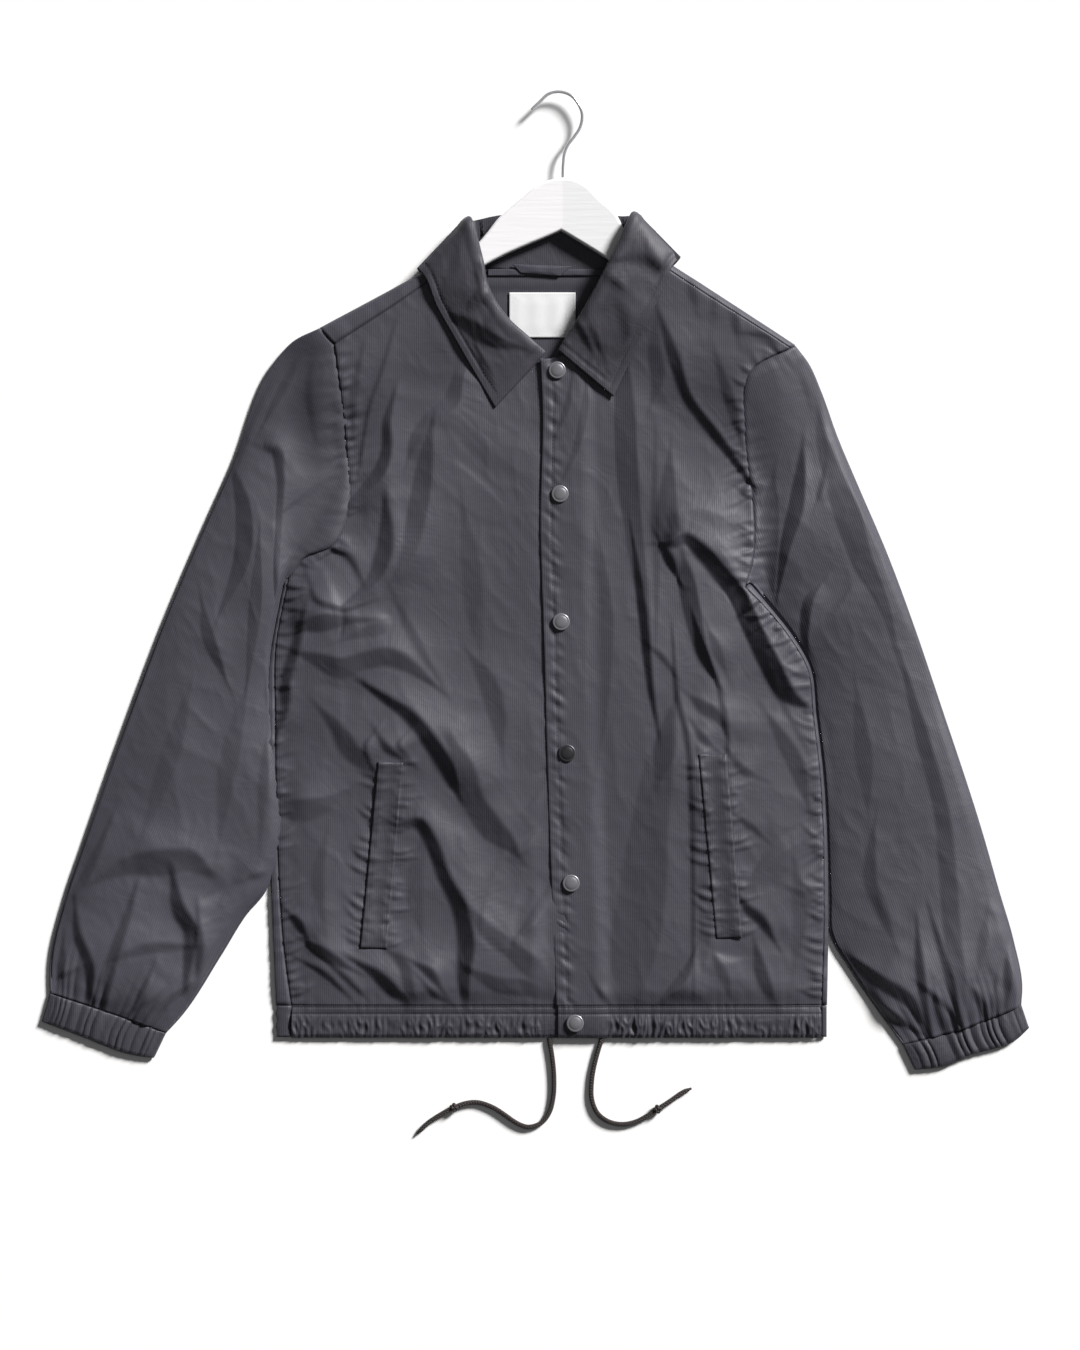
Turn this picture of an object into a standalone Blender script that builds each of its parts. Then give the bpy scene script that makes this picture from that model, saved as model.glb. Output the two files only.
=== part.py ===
import math

import bmesh
import bpy
import numpy as np
from mathutils import Vector

# A nylon coach jacket with its wooden hanger still in the neck, laid flat on its back.
# The tables are in millimetres: x to the right of the front centre, y up from the bottom edge
# of the hem, z up from the floor. Left and right in the names are the wearer's, so a right
# piece lies at negative x.

MM = 0.001
MIDDLE_X = -15.3  # middle of the whole jacket from the front centre
MIDDLE_Y = 424.6  # and from the hem's edge

CLOTH = 1.2  # thickness of a cloth wall
TRIM = 1.0  # thickness of the tape and the label
SEAM_GAP = 0.35  # from a seam to each of the pieces that are sewn together there
LAID_GAP = 0.3  # under a piece that lies on another
COLLAR_GAP = 1.6  # under the collar's fall, which stands off the fronts
FLOOR_WALL = CLOTH / 2  # height of the middle of a wall that lies on the floor
NECK_LIFT = 1.8  # how far the back neck is lifted by the collar under it

HEM_HEIGHT = 30.0  # depth of the drawcord casing
PLACKET_LIFT = 2.6  # how far the left front's placket lies above the right one's
TOP_REST = 3.0  # height of the front's cloth where it lies on the back
TOP_PUFF = 2.4  # how much higher it stands away from the side seams
LOWEST_TOP = 2.3  # no trough of a top layer goes below this

WOOD_BOTTOM = 3.4
WOOD_THICKNESS = 10.5
WOOD_BEVEL = 2.2
ARM_COVER = 46.0  # width of the band below the shoulder line that the hanger's arm lifts
ARM_SLOPE = 96.0  # and how far below that the cloth comes down again
ARM_RISE = 10.8
ARM_END_X = 207.0
ARM_END_DROP = 0.6  # share of the rise that is lost beyond the arm's end
HOOK_WIRE = 3.2
HOOK_POINTS = 26

CUFF_GATHERS = 13
CUFF_RIPPLE = 0.9
CUFF_LOW_COLUMNS = 6  # on the cuff's underside, which is smooth
HEM_GATHERS = 23  # on each front
HEM_RIPPLE = 0.8
HEM_PUFF = 0.8  # how much the casing swells between its two edges
HEM_SIDE_RIGHT = {"outline_x": (-256.5, -257.0), "seam_in": 13.2}
HEM_SIDE_LEFT = {"outline_x": (255.5, 256.0), "seam_in": -4.2}
HEM_SPAN_RIGHT = (-242.7, 38.0)  # where each front's casing starts and ends
HEM_SPAN_LEFT = (5.5, 250.7)
PLACKET_X = 16.0  # middle of the placket, which stays smooth
EDGE_TURN = 2.0  # how far in from its edge a flattened tube starts to turn
SLEEVE_REST = 3.4
SLEEVE_PUFF = 4.6
COLLAR_STAND_GAP = 1.8  # between stand and fall at the back fold
COLLAR_ROLL_GAP = 5.0  # and at the front, where the fall rolls over
WELT_THICKNESS = 1.4
WELT_ROWS = 16

SNAP_DIAMETER = 16.0
SNAP_HEIGHT = 2.6
SNAP_SIDES = 16
CORD_DIAMETER = 4.4
KNOT_DIAMETER = 8.6
KNOT_LENGTH = 9.5
KNOT_CLEARANCE = 0.6  # between the knot and the cord through it
KNOT_SIDES = 12

FOLD_SPREAD = 1.25  # folds are this much wider here than in the cloth, to suit the coarse rows
SIDE_STEPS = 13  # rows of a front, and of the back's turned sides, below the armhole
ARMHOLE_STEPS = 10  # rows of a front, and columns of a sleeve, along the armhole
BACK_ARMHOLE_STEPS = 5
SHOULDER_STEPS = 5
NECK_STEPS = 6
FRONT_COLUMNS = 22
SLEEVE_ROWS = 16
SLEEVE_INNER_EASE = 1.5  # crowds the sleeve's rows together at the armpit
LIFT_RAMP = 9.0  # width of the slope up to the part of the back that lies on the collar

# Outlines and seams, from the hem up.
SIDE_OUTLINE_RIGHT = [(-257, 30), (-261.5, 138), (-261.5, 361), (-249, 426)]
SIDE_SEAM_RIGHT = [(-243, 30), (-250, 82), (-256, 175), (-258, 296), (-258, 361), (-246, 427)]
ARMHOLE_RIGHT = [(-246, 427), (-234, 445), (-206, 458), (-192.5, 491), (-192.5, 556), (-202, 644)]
SHOULDER_OUTLINE_RIGHT = [(-216, 660), (-122, 711), (-77, 737)]
SHOULDER_SEAM_RIGHT = [(-202, 644), (-114, 704), (-80, 732)]

SIDE_OUTLINE_LEFT = [
    (256, 30), (257, 130), (252, 249), (246, 300), (240, 345), (225, 372), (203, 400), (183.5, 423),
]
SIDE_SEAM_LEFT = [
    (251, 30), (252, 130), (247, 249), (241, 300), (235, 343), (220, 368), (198, 396), (179, 419),
]
ARMHOLE_LEFT = [(179, 419), (186, 444), (187, 500), (180, 556), (186, 621), (221, 641)]
SHOULDER_OUTLINE_LEFT = [(226, 644), (115, 716), (77, 740)]
SHOULDER_SEAM_LEFT = [(221, 641), (112, 711), (80, 733)]

NECKLINE_RIGHT = [(-80, 732), (-77, 718), (-67, 690), (-49, 663), (-11, 633), (22, 629)]
NECKLINE_LEFT = [(-10, 631), (6, 634), (32, 660), (62, 703), (73, 722), (80, 733)]
# The back lies on the collar above this line.
LIFT_LINE = [
    (-216, 640), (-158, 672), (-121, 693), (-80, 703), (-45, 702.5), (45, 702.5), (80, 707), (115, 700),
    (158, 674), (226, 628),
]
BACK_NECKLINE = [(-77, 737), (-63, 716), (-30, 712), (30, 712), (62, 716), (77, 740)]
# Rough side and armhole of the body as x for each y, which say how far in a point lies.
BODY_SIDE_RIGHT = ([30, 175, 361, 427, 458, 491, 644], [-243, -256, -258, -246, -206, -192, -202])
BODY_SIDE_LEFT = ([30, 249, 343, 395, 420, 500, 641], [251, 248, 235, 199, 180, 187, 221])
FRONT_EDGE_LEFT = [(5, 30), (1, 128), (-5, 309), (-6, 351), (-10, 480), (-8, 593), (-10, 631)]
UNDER_EDGE_RIGHT = [(38, 30), (34, 128), (28, 309), (23, 480), (22, 629)]

SLEEVE_OUTER_RIGHT = [
    (-218.6, 658.8), (-241, 648), (-258, 630), (-298, 535), (-328, 468), (-365, 380), (-390, 314),
    (-436, 184), (-454, 131), (-468, 69), (-468, 41),
]
SLEEVE_INNER_RIGHT = [
    (-251.2, 426), (-263.5, 361), (-263.5, 147), (-267, 136), (-285, 114), (-308, 77), (-347, 18),
    (-360, 4),
]
CUFF_SEAM_RIGHT = [(-468, 41), (-437, 31), (-396, 17), (-360, 4)]
CUFF_EDGE_RIGHT = [(-475, 15), (-436, 0), (-392, -16), (-371, -19)]
SLEEVE_OUTER_LEFT = [
    (228.6, 641.2), (239, 627), (250, 603), (266, 559), (285, 514), (312, 451), (338, 381), (361, 313),
    (403, 184), (416, 138), (430, 90), (438, 46), (437, 30),
]
SLEEVE_INNER_LEFT = [
    (188, 426), (208.5, 404), (230, 375.5), (244.5, 347), (250, 300), (255.5, 249), (259.5, 130), (259, 96),
    (277, 64), (300, 30), (327, -7),
]
CUFF_SEAM_LEFT = [(437, 30), (413, 20), (369, 4), (327, -7)]
CUFF_EDGE_LEFT = [(444, 9), (432, -2), (388, -17), (364, -27), (338, -30)]

# The largest folds, each along a line from its upper to its lower end. bow bends the line
# towards the picture's left, lit is the width of its long slope and shade that of its steep one.
FOLD_COLUMNS = ("from_x", "from_y", "to_x", "to_y", "bow", "height", "lit", "shade")
BODY_FOLDS = [
    (-146, 654, -179, 520, 3, 3.5, 16, 8),
    (-152, 590, -196, 496, -6, 3.5, 18, 9),
    (-88, 620, -134, 545, -5, 3.5, 18, 10),
    (-108, 580, -150, 425, -8, 4.5, 24, 11),
    (-152, 495, -192, 404, -7, 4.5, 20, 10),
    (-228, 365, -192, 327, 0, 4.0, 18, 10),
    (-155, 372, -200, 326, 0, 4.0, 18, 10),
    (-158, 366, -106, 324, 0, 4.0, 20, 10),
    (-226, 392, -252, 280, 0, 3.0, 14, 8),
    (-168, 330, -92, 228, 0, 5.0, 24, 12),
    (-96, 270, -38, 164, 4, 4.5, 30, 16),
    (-218, 310, -168, 255, 0, 3.0, 16, 9),
    (-140, 202, -78, 60, -8, 4.5, 26, 12),
    (-186, 236, -244, 186, 0, 3.0, 16, 9),
    (-74, 365, -44, 262, 3, 2.5, 26, 18),
    (76, 632, 98, 290, 10, 5.5, 22, 16),
    (106, 540, 119, 428, 3, 5.0, 18, 10),
    (126, 474, 232, 312, -10, 8.0, 30, 13),
    (124, 466, 158, 345, 8, 5.0, 16, 11),
    (120, 352, 133, 66, 0, 3.5, 24, 11),
    (92, 272, 40, 54, 0, 3.5, 46, 30),
    (203, 300, 246, 200, 4, 3.0, 20, 12),
    (236, 212, 184, 160, 0, 3.0, 16, 10),
    (177, 130, 210, 86, 0, 3.0, 14, 9),
    (148, 700, 184, 470, 12, 3.0, 26, 14),
]
SLEEVE_FOLDS_RIGHT = [
    (-240, 640, -268, 572, 0, 3.0, 16, 9),
    (-252, 528, -258, 345, 4, 4.5, 18, 9),
    (-198, 524, -252, 488, -3, 4.0, 14, 8),
    (-296, 535, -308, 385, -8, 4.0, 22, 12),
    (-324, 404, -302, 334, 4, 3.0, 18, 10),
    (-416, 186, -454, 132, 0, 4.0, 20, 10),
    (-386, 152, -318, 158, 14, 4.5, 18, 10),
    (-350, 146, -336, 66, -3, 3.5, 14, 9),
    (-440, 124, -430, 36, 0, 3.5, 10, 8),
    (-390, 128, -412, 36, 0, 3.5, 10, 8),
]
SLEEVE_FOLDS_LEFT = [
    (254, 580, 372, 66, 6, 4.5, 34, 18),
    (234, 545, 214, 420, 0, 3.0, 16, 10),
    (250, 424, 238, 350, 0, 3.0, 14, 9),
    (277, 418, 249, 378, 0, 3.0, 14, 9),
    (297, 172, 314, 88, 5, 3.5, 16, 9),
    (284, 70, 346, 14, 0, 4.0, 16, 9),
    (340, 96, 354, 4, 0, 3.5, 10, 8),
    (356, 108, 388, 16, 0, 3.5, 10, 8),
    (424, 86, 424, 34, 0, 3.0, 10, 8),
]

SLEEVE_RIGHT = (
    SLEEVE_OUTER_RIGHT, SLEEVE_INNER_RIGHT, ARMHOLE_RIGHT, CUFF_SEAM_RIGHT, SLEEVE_FOLDS_RIGHT, 1,
)
SLEEVE_LEFT = (
    SLEEVE_OUTER_LEFT, SLEEVE_INNER_LEFT, ARMHOLE_LEFT, CUFF_SEAM_LEFT, SLEEVE_FOLDS_LEFT, -1,
)

# The collar from its front end to the shoulder: neck seam, fold and outer edge at each station.
COLLAR_COLUMNS = ("seam_x", "seam_y", "fold_x", "fold_y", "edge_x", "edge_y", "stand")
COLLAR_FRONT_RIGHT = [
    (-9, 635, -5.5, 637.5, -53, 586, 2.0),
    (-26, 647, -22, 652, -63, 603, 2.6),
    (-46, 664, -41, 669, -76, 625, 3.2),
    (-66, 695, -59, 698, -91, 651, 3.6),
    (-75, 719, -64, 722, -106, 677, 3.8),
]
COLLAR_FRONT_LEFT = [
    (10, 637, 5.6, 639, 57, 596, 2.0),
    (20, 649, 13.5, 652, 65, 613, 2.6),
    (33, 664, 24.5, 669, 75, 635, 3.2),
    (58, 701, 45, 706, 91, 670, 3.6),
    (71, 722, 57, 729, 104, 697, 3.8),
]
FRONT_STATIONS = len(COLLAR_FRONT_RIGHT)
COLLAR_PEAK_RIGHT = {"fold": (-76.5, 762.5), "edge": (-125, 714.5)}
COLLAR_PEAK_LEFT = {"fold": (75, 767), "edge": (119, 725)}
COLLAR_BACK_FOLD_Y = 766.0
COLLAR_BACK_EDGE_Y = 706.0
COLLAR_TURN_DEPTH = 6.5  # how far the collar comes in from the peak line as it turns under
COLLAR_FOLD_TOP = 21.0
COLLAR_EDGE_TOP = 19.0
# The neck seam as it goes round the hanger's arm, from the back up to the front.
NECK_TURN = [(-71.5, 733, 2.4), (-75, 742, 4.2), (-76, 744, 9.0), (-76, 742, 13.6), (-78, 731, 16.6)]
COLLAR_ACROSS_STAND = 2
COLLAR_ACROSS_FALL = 5

WELT_RIGHT = {"top": [(-162, 257), (-138.5, 256)], "bottom": [(-178.5, 84), (-153.5, 83)]}
WELT_LEFT = {"top": [(136, 264), (162, 264)], "bottom": [(152.5, 93), (176.5, 93)]}
SNAP_CENTRES = [(4.7, 621), (7.4, 506), (8.4, 387), (13.9, 265), (17.7, 144), (21.4, 14)]

NECK_TAPE_BOX = {"low": (-60, 709.5), "high": (50, 715.5)}
HANGER_LOOP = {"top": [(-37, 720), (17.5, 718)], "bottom": [(-29, 712), (7.5, 709)]}
NECK_LABEL_BOX = {"low": (-40, 652), "high": (22, 694)}

WOOD_TOP = [
    (-194, 650), (-189, 662), (-160, 681), (-122, 701), (-82, 727), (-67, 741), (-59.5, 750), (-50, 762),
    (-41, 770), (-28, 781), (-12, 793.5), (0, 798), (10, 799), (20, 798), (30, 793.5), (44, 780),
    (58.5, 767), (67, 751), (70, 742), (82, 728), (115, 705), (160, 676), (189, 657), (194, 645),
]
WOOD_UNDER = [
    (189, 633), (160, 652), (115, 680), (54, 722.5), (8.5, 750.5), (-61, 719), (-122, 674), (-189, 638),
]
HOOK_ROUTE = [
    (-19.5, 863), (-11, 871), (-4, 877.5), (6.5, 880), (16.7, 877), (24.2, 869), (28, 859), (26, 846.5),
    (21, 838.5), (15, 830.5), (11.8, 823), (10.4, 812), (10, 799.4),
]

CORD_REST = CORD_DIAMETER / 2 + 0.1
CORD_RISE = KNOT_DIAMETER / 2 + 0.1
CORD_ROUTE_RIGHT = [
    (-2.8, -1, CORD_REST), (0, -17, CORD_REST), (1.9, -38, CORD_REST), (0.9, -57.5, CORD_REST),
    (-2.8, -70.5, CORD_REST), (-10.5, -80, CORD_REST), (-23, -83.5, CORD_REST), (-36, -78, CORD_REST),
    (-46.5, -70.5, CORD_REST), (-58, -64, CORD_REST), (-71, -60.5, CORD_REST), (-81, -61.5, 3.2),
    (-91, -65, CORD_RISE), (-104, -72, 3.2), (-117, -81, CORD_REST), (-125.5, -90, CORD_REST),
]
CORD_ROUTE_LEFT = [
    (46.5, -1, CORD_REST), (41, -19.5, CORD_REST), (37, -41, CORD_REST), (37.5, -59.5, CORD_REST),
    (43, -71.5, CORD_REST), (54, -79, CORD_REST), (66, -81, CORD_REST), (77, -79, CORD_REST),
    (88, -73.5, 3.2), (98.5, -66.5, CORD_RISE), (110.5, -59, 3.2), (121.5, -51.5, CORD_REST),
    (130, -47.5, CORD_REST),
]
CORD_POINTS = 30
KNOT_POINT_RIGHT = 12
KNOT_POINT_LEFT = 9

# Colours as linear values, roughness and metallic.
FINISHES = {
    "nylon": ((0.052, 0.048, 0.058), 0.46, 0.0),
    "lining_side": ((0.045, 0.042, 0.050), 0.55, 0.0),
    "label_white": ((0.80, 0.81, 0.84), 0.60, 0.0),
    "snap_metal": ((0.42, 0.42, 0.45), 0.32, 1.0),
    "cord_black": ((0.012, 0.011, 0.013), 0.70, 0.0),
    "painted_white": ((0.86, 0.86, 0.88), 0.35, 0.0),
    "chrome": ((0.78, 0.78, 0.80), 0.15, 1.0),
}


def smooth_step(value, low, high):
    share = np.clip((value - low) / (high - low), 0.0, 1.0)
    return share * share * (3.0 - 2.0 * share)


def spread_along(points, steps, ease=1.0):
    """steps + 1 points along straight runs between the given ones, at even distances for ease 1."""
    corners = np.array(points, float)
    runs = np.linalg.norm(np.diff(corners, axis=0), axis=1)
    reached = np.concatenate([[0.0], np.cumsum(runs)])
    wanted = np.linspace(0.0, 1.0, steps + 1) ** ease * reached[-1]
    columns = [np.interp(wanted, reached, corners[:, k]) for k in range(corners.shape[1])]
    return np.stack(columns, axis=1)


def smooth_route(points, count):
    """count points on a smooth curve through the given ones, at even distances."""
    given = np.array(points, float)
    padded = np.vstack([2 * given[0] - given[1], given, 2 * given[-1] - given[-2]])
    fine = []
    for i in range(len(given) - 1):
        before, start, end, after = padded[i : i + 4]
        for share in np.linspace(0.0, 1.0, 12, endpoint=False):
            fine.append(
                0.5
                * (
                    2 * start
                    + (end - before) * share
                    + (2 * before - 5 * start + 4 * end - after) * share**2
                    + (3 * start - before - 3 * end + after) * share**3
                )
            )
    fine.append(given[-1])
    return spread_along(fine, count - 1)


def blend_points(first, second, share):
    return first + (second - first) * share


def patch(left, right, low, high, low_bend=1.0, high_bend=1.0):
    """Rows of points between four boundary lines. The bends say how fast their shapes die out."""
    rows, columns = len(left), len(low)
    grid = np.zeros((rows, columns, 2))
    low_bend = np.broadcast_to(low_bend, columns)
    for j in range(rows):
        up = j / (rows - 1)
        for i in range(columns):
            over = i / (columns - 1)
            low_shape = low[i] - blend_points(low[0], low[-1], over)
            high_shape = high[i] - blend_points(high[0], high[-1], over)
            grid[j, i] = (
                blend_points(left[j], right[j], over)
                + low_shape * (1 - up) ** low_bend[i]
                + high_shape * up**high_bend
            )
    return grid


def fold_height(x, y, row):
    fold = dict(zip(FOLD_COLUMNS, row))
    run_x = fold["to_x"] - fold["from_x"]
    run_y = fold["to_y"] - fold["from_y"]
    length = math.hypot(run_x, run_y)
    along = ((x - fold["from_x"]) * run_x + (y - fold["from_y"]) * run_y) / length**2
    inside = np.clip(along, 0.0, 1.0)
    across = ((x - fold["from_x"]) * run_y - (y - fold["from_y"]) * run_x) / length
    across = across - 4 * fold["bow"] * inside * (1 - inside)
    width = np.where(across > 0, fold["shade"], fold["lit"]) * FOLD_SPREAD
    ends = smooth_step(along, -0.08, 0.22) * (1 - smooth_step(along, 0.72, 1.08))
    return fold["height"] * ends * np.exp(-((across / width) ** 2))


def hanger_share(x, y):
    """1 over the hanger's arms and 0 well below them."""
    right_line = np.interp(x, [-216, -77, 0], [660, 737, 780])
    left_line = np.interp(x, [0, 77, 226], [780, 740, 644])
    below = np.where(x < 0, right_line, left_line) - y
    past_end = smooth_step(np.abs(x), ARM_END_X, ARM_END_X + 45)
    return (1 - smooth_step(below, ARM_COVER, ARM_COVER + ARM_SLOPE)) * (1 - ARM_END_DROP * past_end)


def body_top(x, y):
    """Height of the middle of the fronts' wall."""
    right_side = np.interp(y, *BODY_SIDE_RIGHT)
    left_side = np.interp(y, *BODY_SIDE_LEFT)
    from_side = np.minimum(x - right_side, left_side - x)
    share = hanger_share(x, y)
    puff = TOP_PUFF * np.maximum(smooth_step(from_side, 0, 55), share)
    by_placket = smooth_step(np.abs(x - PLACKET_X), 26, 48)
    folds = sum(fold_height(x, y, row) for row in BODY_FOLDS)
    folds = folds * (0.3 + 0.7 * by_placket) * (0.25 + 0.75 * smooth_step(y, 28, 70))
    folds = folds * (1 - 0.7 * share)
    return np.maximum(TOP_REST + puff + ARM_RISE * share + folds, LOWEST_TOP + (ARM_RISE + 0.9) * share)


def placket_lift(x, y):
    """Extra height of the left front where it lies on the right one."""
    under_x = np.interp(y, [30, 309, 629], [38, 28, 22])
    return PLACKET_LIFT * (1 - smooth_step(x, under_x + 3, under_x + 30))


def left_front_top(x, y):
    return body_top(x, y) + placket_lift(x, y)


def back_wall(x, y):
    """Height of the middle of the back's wall: on the floor, but lifted over the collar."""
    ramp = np.clip((y - np.interp(x, *zip(*LIFT_LINE))) / LIFT_RAMP + 1, 0.0, 1.0)
    return FLOOR_WALL + NECK_LIFT * ramp * (1 - smooth_step(np.abs(x), 134, 158))


def with_height(flat, height):
    """A grid of x, y points with z from a height function."""
    return np.dstack([flat, height(flat[..., 0], flat[..., 1])])


def finish(name, finish_name):
    colour, roughness, metallic = FINISHES[finish_name]
    material = bpy.data.materials.new(name + "_" + finish_name)
    material.use_nodes = True
    shader = material.node_tree.nodes["Principled BSDF"]
    shader.inputs["Base Color"].default_value = (*colour, 1.0)
    shader.inputs["Roughness"].default_value = roughness
    shader.inputs["Metallic"].default_value = metallic
    material.diffuse_color = (*colour, 1.0)
    return material


def to_metres(points):
    return [((p[0] - MIDDLE_X) * MM, (p[1] - MIDDLE_Y) * MM, p[2] * MM) for p in points]


def add_object(name, data, finish_name):
    piece = bpy.data.objects.new(name, data)
    piece.data.materials.append(finish(name, finish_name))
    bpy.context.scene.collection.objects.link(piece)
    return piece


def split_quads(grid):
    """The triangles of a grid, each quad split along its shorter diagonal."""
    rows, columns = grid.shape[:2]
    pieces = []
    for j in range(rows - 1):
        for i in range(columns - 1):
            a, b, c, d = grid[j, i], grid[j, i + 1], grid[j + 1, i + 1], grid[j + 1, i]
            if np.linalg.norm(a - c) <= np.linalg.norm(b - d):
                pieces.extend([(a, b, c), (a, c, d)])
            else:
                pieces.extend([(a, b, d), (b, c, d)])
    return pieces


def height_on(grid, otherwise):
    """A function of x and y that gives the height of the grid's triangles, or else another one's."""
    pieces = np.array(split_quads(grid))
    corner, side, other = pieces[:, 0], pieces[:, 1] - pieces[:, 0], pieces[:, 2] - pieces[:, 0]
    area = side[:, 0] * other[:, 1] - side[:, 1] * other[:, 0]
    area = np.where(np.abs(area) < 1e-9, 1e-9, area)

    def height(x, y):
        x, y = np.broadcast_arrays(np.asarray(x, float), np.asarray(y, float))
        level = np.array(otherwise(x, y), float)
        for spot in np.ndindex(x.shape):
            from_x = x[spot] - corner[:, 0]
            from_y = y[spot] - corner[:, 1]
            first = (from_x * other[:, 1] - from_y * other[:, 0]) / area
            second = (side[:, 0] * from_y - side[:, 1] * from_x) / area
            within = (first >= -1e-6) & (second >= -1e-6) & (first + second <= 1 + 1e-6)
            if within.any():
                levels = corner[:, 2] + first * side[:, 2] + second * other[:, 2]
                level[spot] = levels[within].max()
        return level

    return height


def sewn_mesh(name, grids, panels=()):
    """One mesh from grids and flat panels. Points that they share are made one."""
    found = {}
    points = []
    faces = []

    def index_of(point):
        key = tuple(np.round(point, 4))
        if key not in found:
            found[key] = len(points)
            points.append(point)
        return found[key]

    pieces = [piece for grid in grids for piece in split_quads(grid)]
    for piece in [*pieces, *panels]:
        corners = list(dict.fromkeys(index_of(point) for point in piece))
        if len(corners) > 2:
            faces.append(corners)
    mesh = bpy.data.meshes.new(name)
    mesh.from_pydata(to_metres(points), [], faces)
    shell = bmesh.new()
    shell.from_mesh(mesh)
    bmesh.ops.recalc_face_normals(shell, faces=shell.faces)
    shell.to_mesh(mesh)
    shell.free()
    mesh.shade_smooth()
    return mesh


def cloth(name, grids, finish_name="nylon", thickness=CLOTH, panels=()):
    """A wall of even thickness round the middle surface that the grids give."""
    piece = add_object(name, sewn_mesh(name, grids, panels), finish_name)
    wall = piece.modifiers.new("cloth thickness", "SOLIDIFY")
    wall.thickness = thickness * MM
    wall.offset = 0.0
    wall.use_even_offset = True
    wall.use_rim = True
    return piece


def turned_edge(outline, seam, seam_height, start_height):
    """Rows of points from the floor layer, round an edge and back in to a seam on top."""
    rows = []
    for (x, y), (seam_x, seam_y) in zip(outline, seam):
        inward = np.array([seam_x - x, seam_y - y])
        width = np.linalg.norm(inward)
        inward = inward / width
        high = float(seam_height(seam_x, seam_y))
        reach = min((high - float(start_height(x, y))) / 2, 0.85 * width)
        low = float(start_height(x + inward[0] * reach, y + inward[1] * reach))
        radius = (high - low) / 2
        row = []
        for angle in (-90, -50, -10, 30, 65):
            turn = math.radians(angle)
            across = reach * (1 - math.cos(turn))
            rise = radius * (1 + math.sin(turn))
            row.append((x + inward[0] * across, y + inward[1] * across, low + rise))
        row.append((seam_x, seam_y, high))
        rows.append(row)
    return np.array(rows)


def moved_sideways(line, distance):
    """The line moved at right angles to itself, to its left where the distance is above zero."""
    run = np.gradient(line, axis=0)
    run = run / np.linalg.norm(run, axis=1)[:, None]
    return line + np.column_stack([-run[:, 1], run[:, 0]]) * distance


def add_back():
    """The back's flat wall, its turned sides and its turned shoulders."""
    side_right = spread_along(SIDE_OUTLINE_RIGHT, SIDE_STEPS)
    side_left = spread_along(SIDE_OUTLINE_LEFT, SIDE_STEPS)
    seam_right = moved_sideways(spread_along(SIDE_SEAM_RIGHT, SIDE_STEPS), SEAM_GAP)
    seam_left = moved_sideways(spread_along(SIDE_SEAM_LEFT, SIDE_STEPS), -SEAM_GAP)
    turn_right = turned_edge(side_right, seam_right, body_top, back_wall)
    turn_left = turned_edge(side_left, seam_left, body_top, back_wall)
    shoulder_right = spread_along(SHOULDER_OUTLINE_RIGHT, SHOULDER_STEPS)
    shoulder_left = spread_along(SHOULDER_OUTLINE_LEFT, SHOULDER_STEPS)
    top_seam_right = moved_sideways(spread_along(SHOULDER_SEAM_RIGHT, SHOULDER_STEPS), SEAM_GAP)
    top_seam_left = moved_sideways(spread_along(SHOULDER_SEAM_LEFT, SHOULDER_STEPS), -SEAM_GAP)
    over_right = turned_edge(shoulder_right, top_seam_right, body_top, back_wall)
    over_left = turned_edge(shoulder_left, top_seam_left, body_top, back_wall)
    hole_right = moved_sideways(spread_along(ARMHOLE_RIGHT, BACK_ARMHOLE_STEPS), -SEAM_GAP)[1:-1]
    hole_left = moved_sideways(spread_along(ARMHOLE_LEFT, BACK_ARMHOLE_STEPS), SEAM_GAP)[1:-1]
    right_line = np.vstack([turn_right[:, 0, :2], hole_right])
    left_line = np.vstack([turn_left[:, 0, :2], hole_left])
    core = with_height(np.stack([right_line, left_line], axis=1), back_wall)
    neck = spread_along(BACK_NECKLINE, NECK_STEPS)[1:-1]
    top = np.vstack([over_right[:, 0, :2], neck, over_left[::-1, 0, :2]])
    yoke = []
    for drop in (LIFT_RAMP, 0.0):
        row = np.column_stack([top[:, 0], np.interp(top[:, 0], *zip(*LIFT_LINE)) - drop])
        for end, hole in ((0, hole_right[-1]), (-1, hole_left[-1])):
            row[end] = blend_points(hole, top[end], (row[end, 1] - hole[1]) / (top[end, 1] - hole[1]))
        yoke.append(row)
    yoke.append(top)
    yoke = with_height(np.array(yoke), back_wall)
    panel = [*core[-1], *yoke[0, ::-1]]
    cloth("back_panel", [core, yoke, turn_right, turn_left, over_right, over_left], panels=[panel])


def front_right_grid():
    side = moved_sideways(spread_along(SIDE_SEAM_RIGHT, SIDE_STEPS), -SEAM_GAP)
    hole = moved_sideways(spread_along(ARMHOLE_RIGHT, ARMHOLE_STEPS), -SEAM_GAP)
    left_line = np.vstack([side[:-1], hole])
    rows = len(left_line) - 1
    right_line = spread_along(UNDER_EDGE_RIGHT, rows)
    seam = moved_sideways(spread_along(SHOULDER_SEAM_RIGHT, 2 * SHOULDER_STEPS), -SEAM_GAP)
    neck = spread_along(NECKLINE_RIGHT, FRONT_COLUMNS - 2 * SHOULDER_STEPS)
    top_line = np.vstack([seam, neck[1:]])
    top_line[0] = left_line[-1]
    low_line = spread_along([left_line[0], right_line[0]], FRONT_COLUMNS)
    return with_height(patch(left_line, right_line, low_line, top_line, 1.0, 3.0), body_top)


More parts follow.
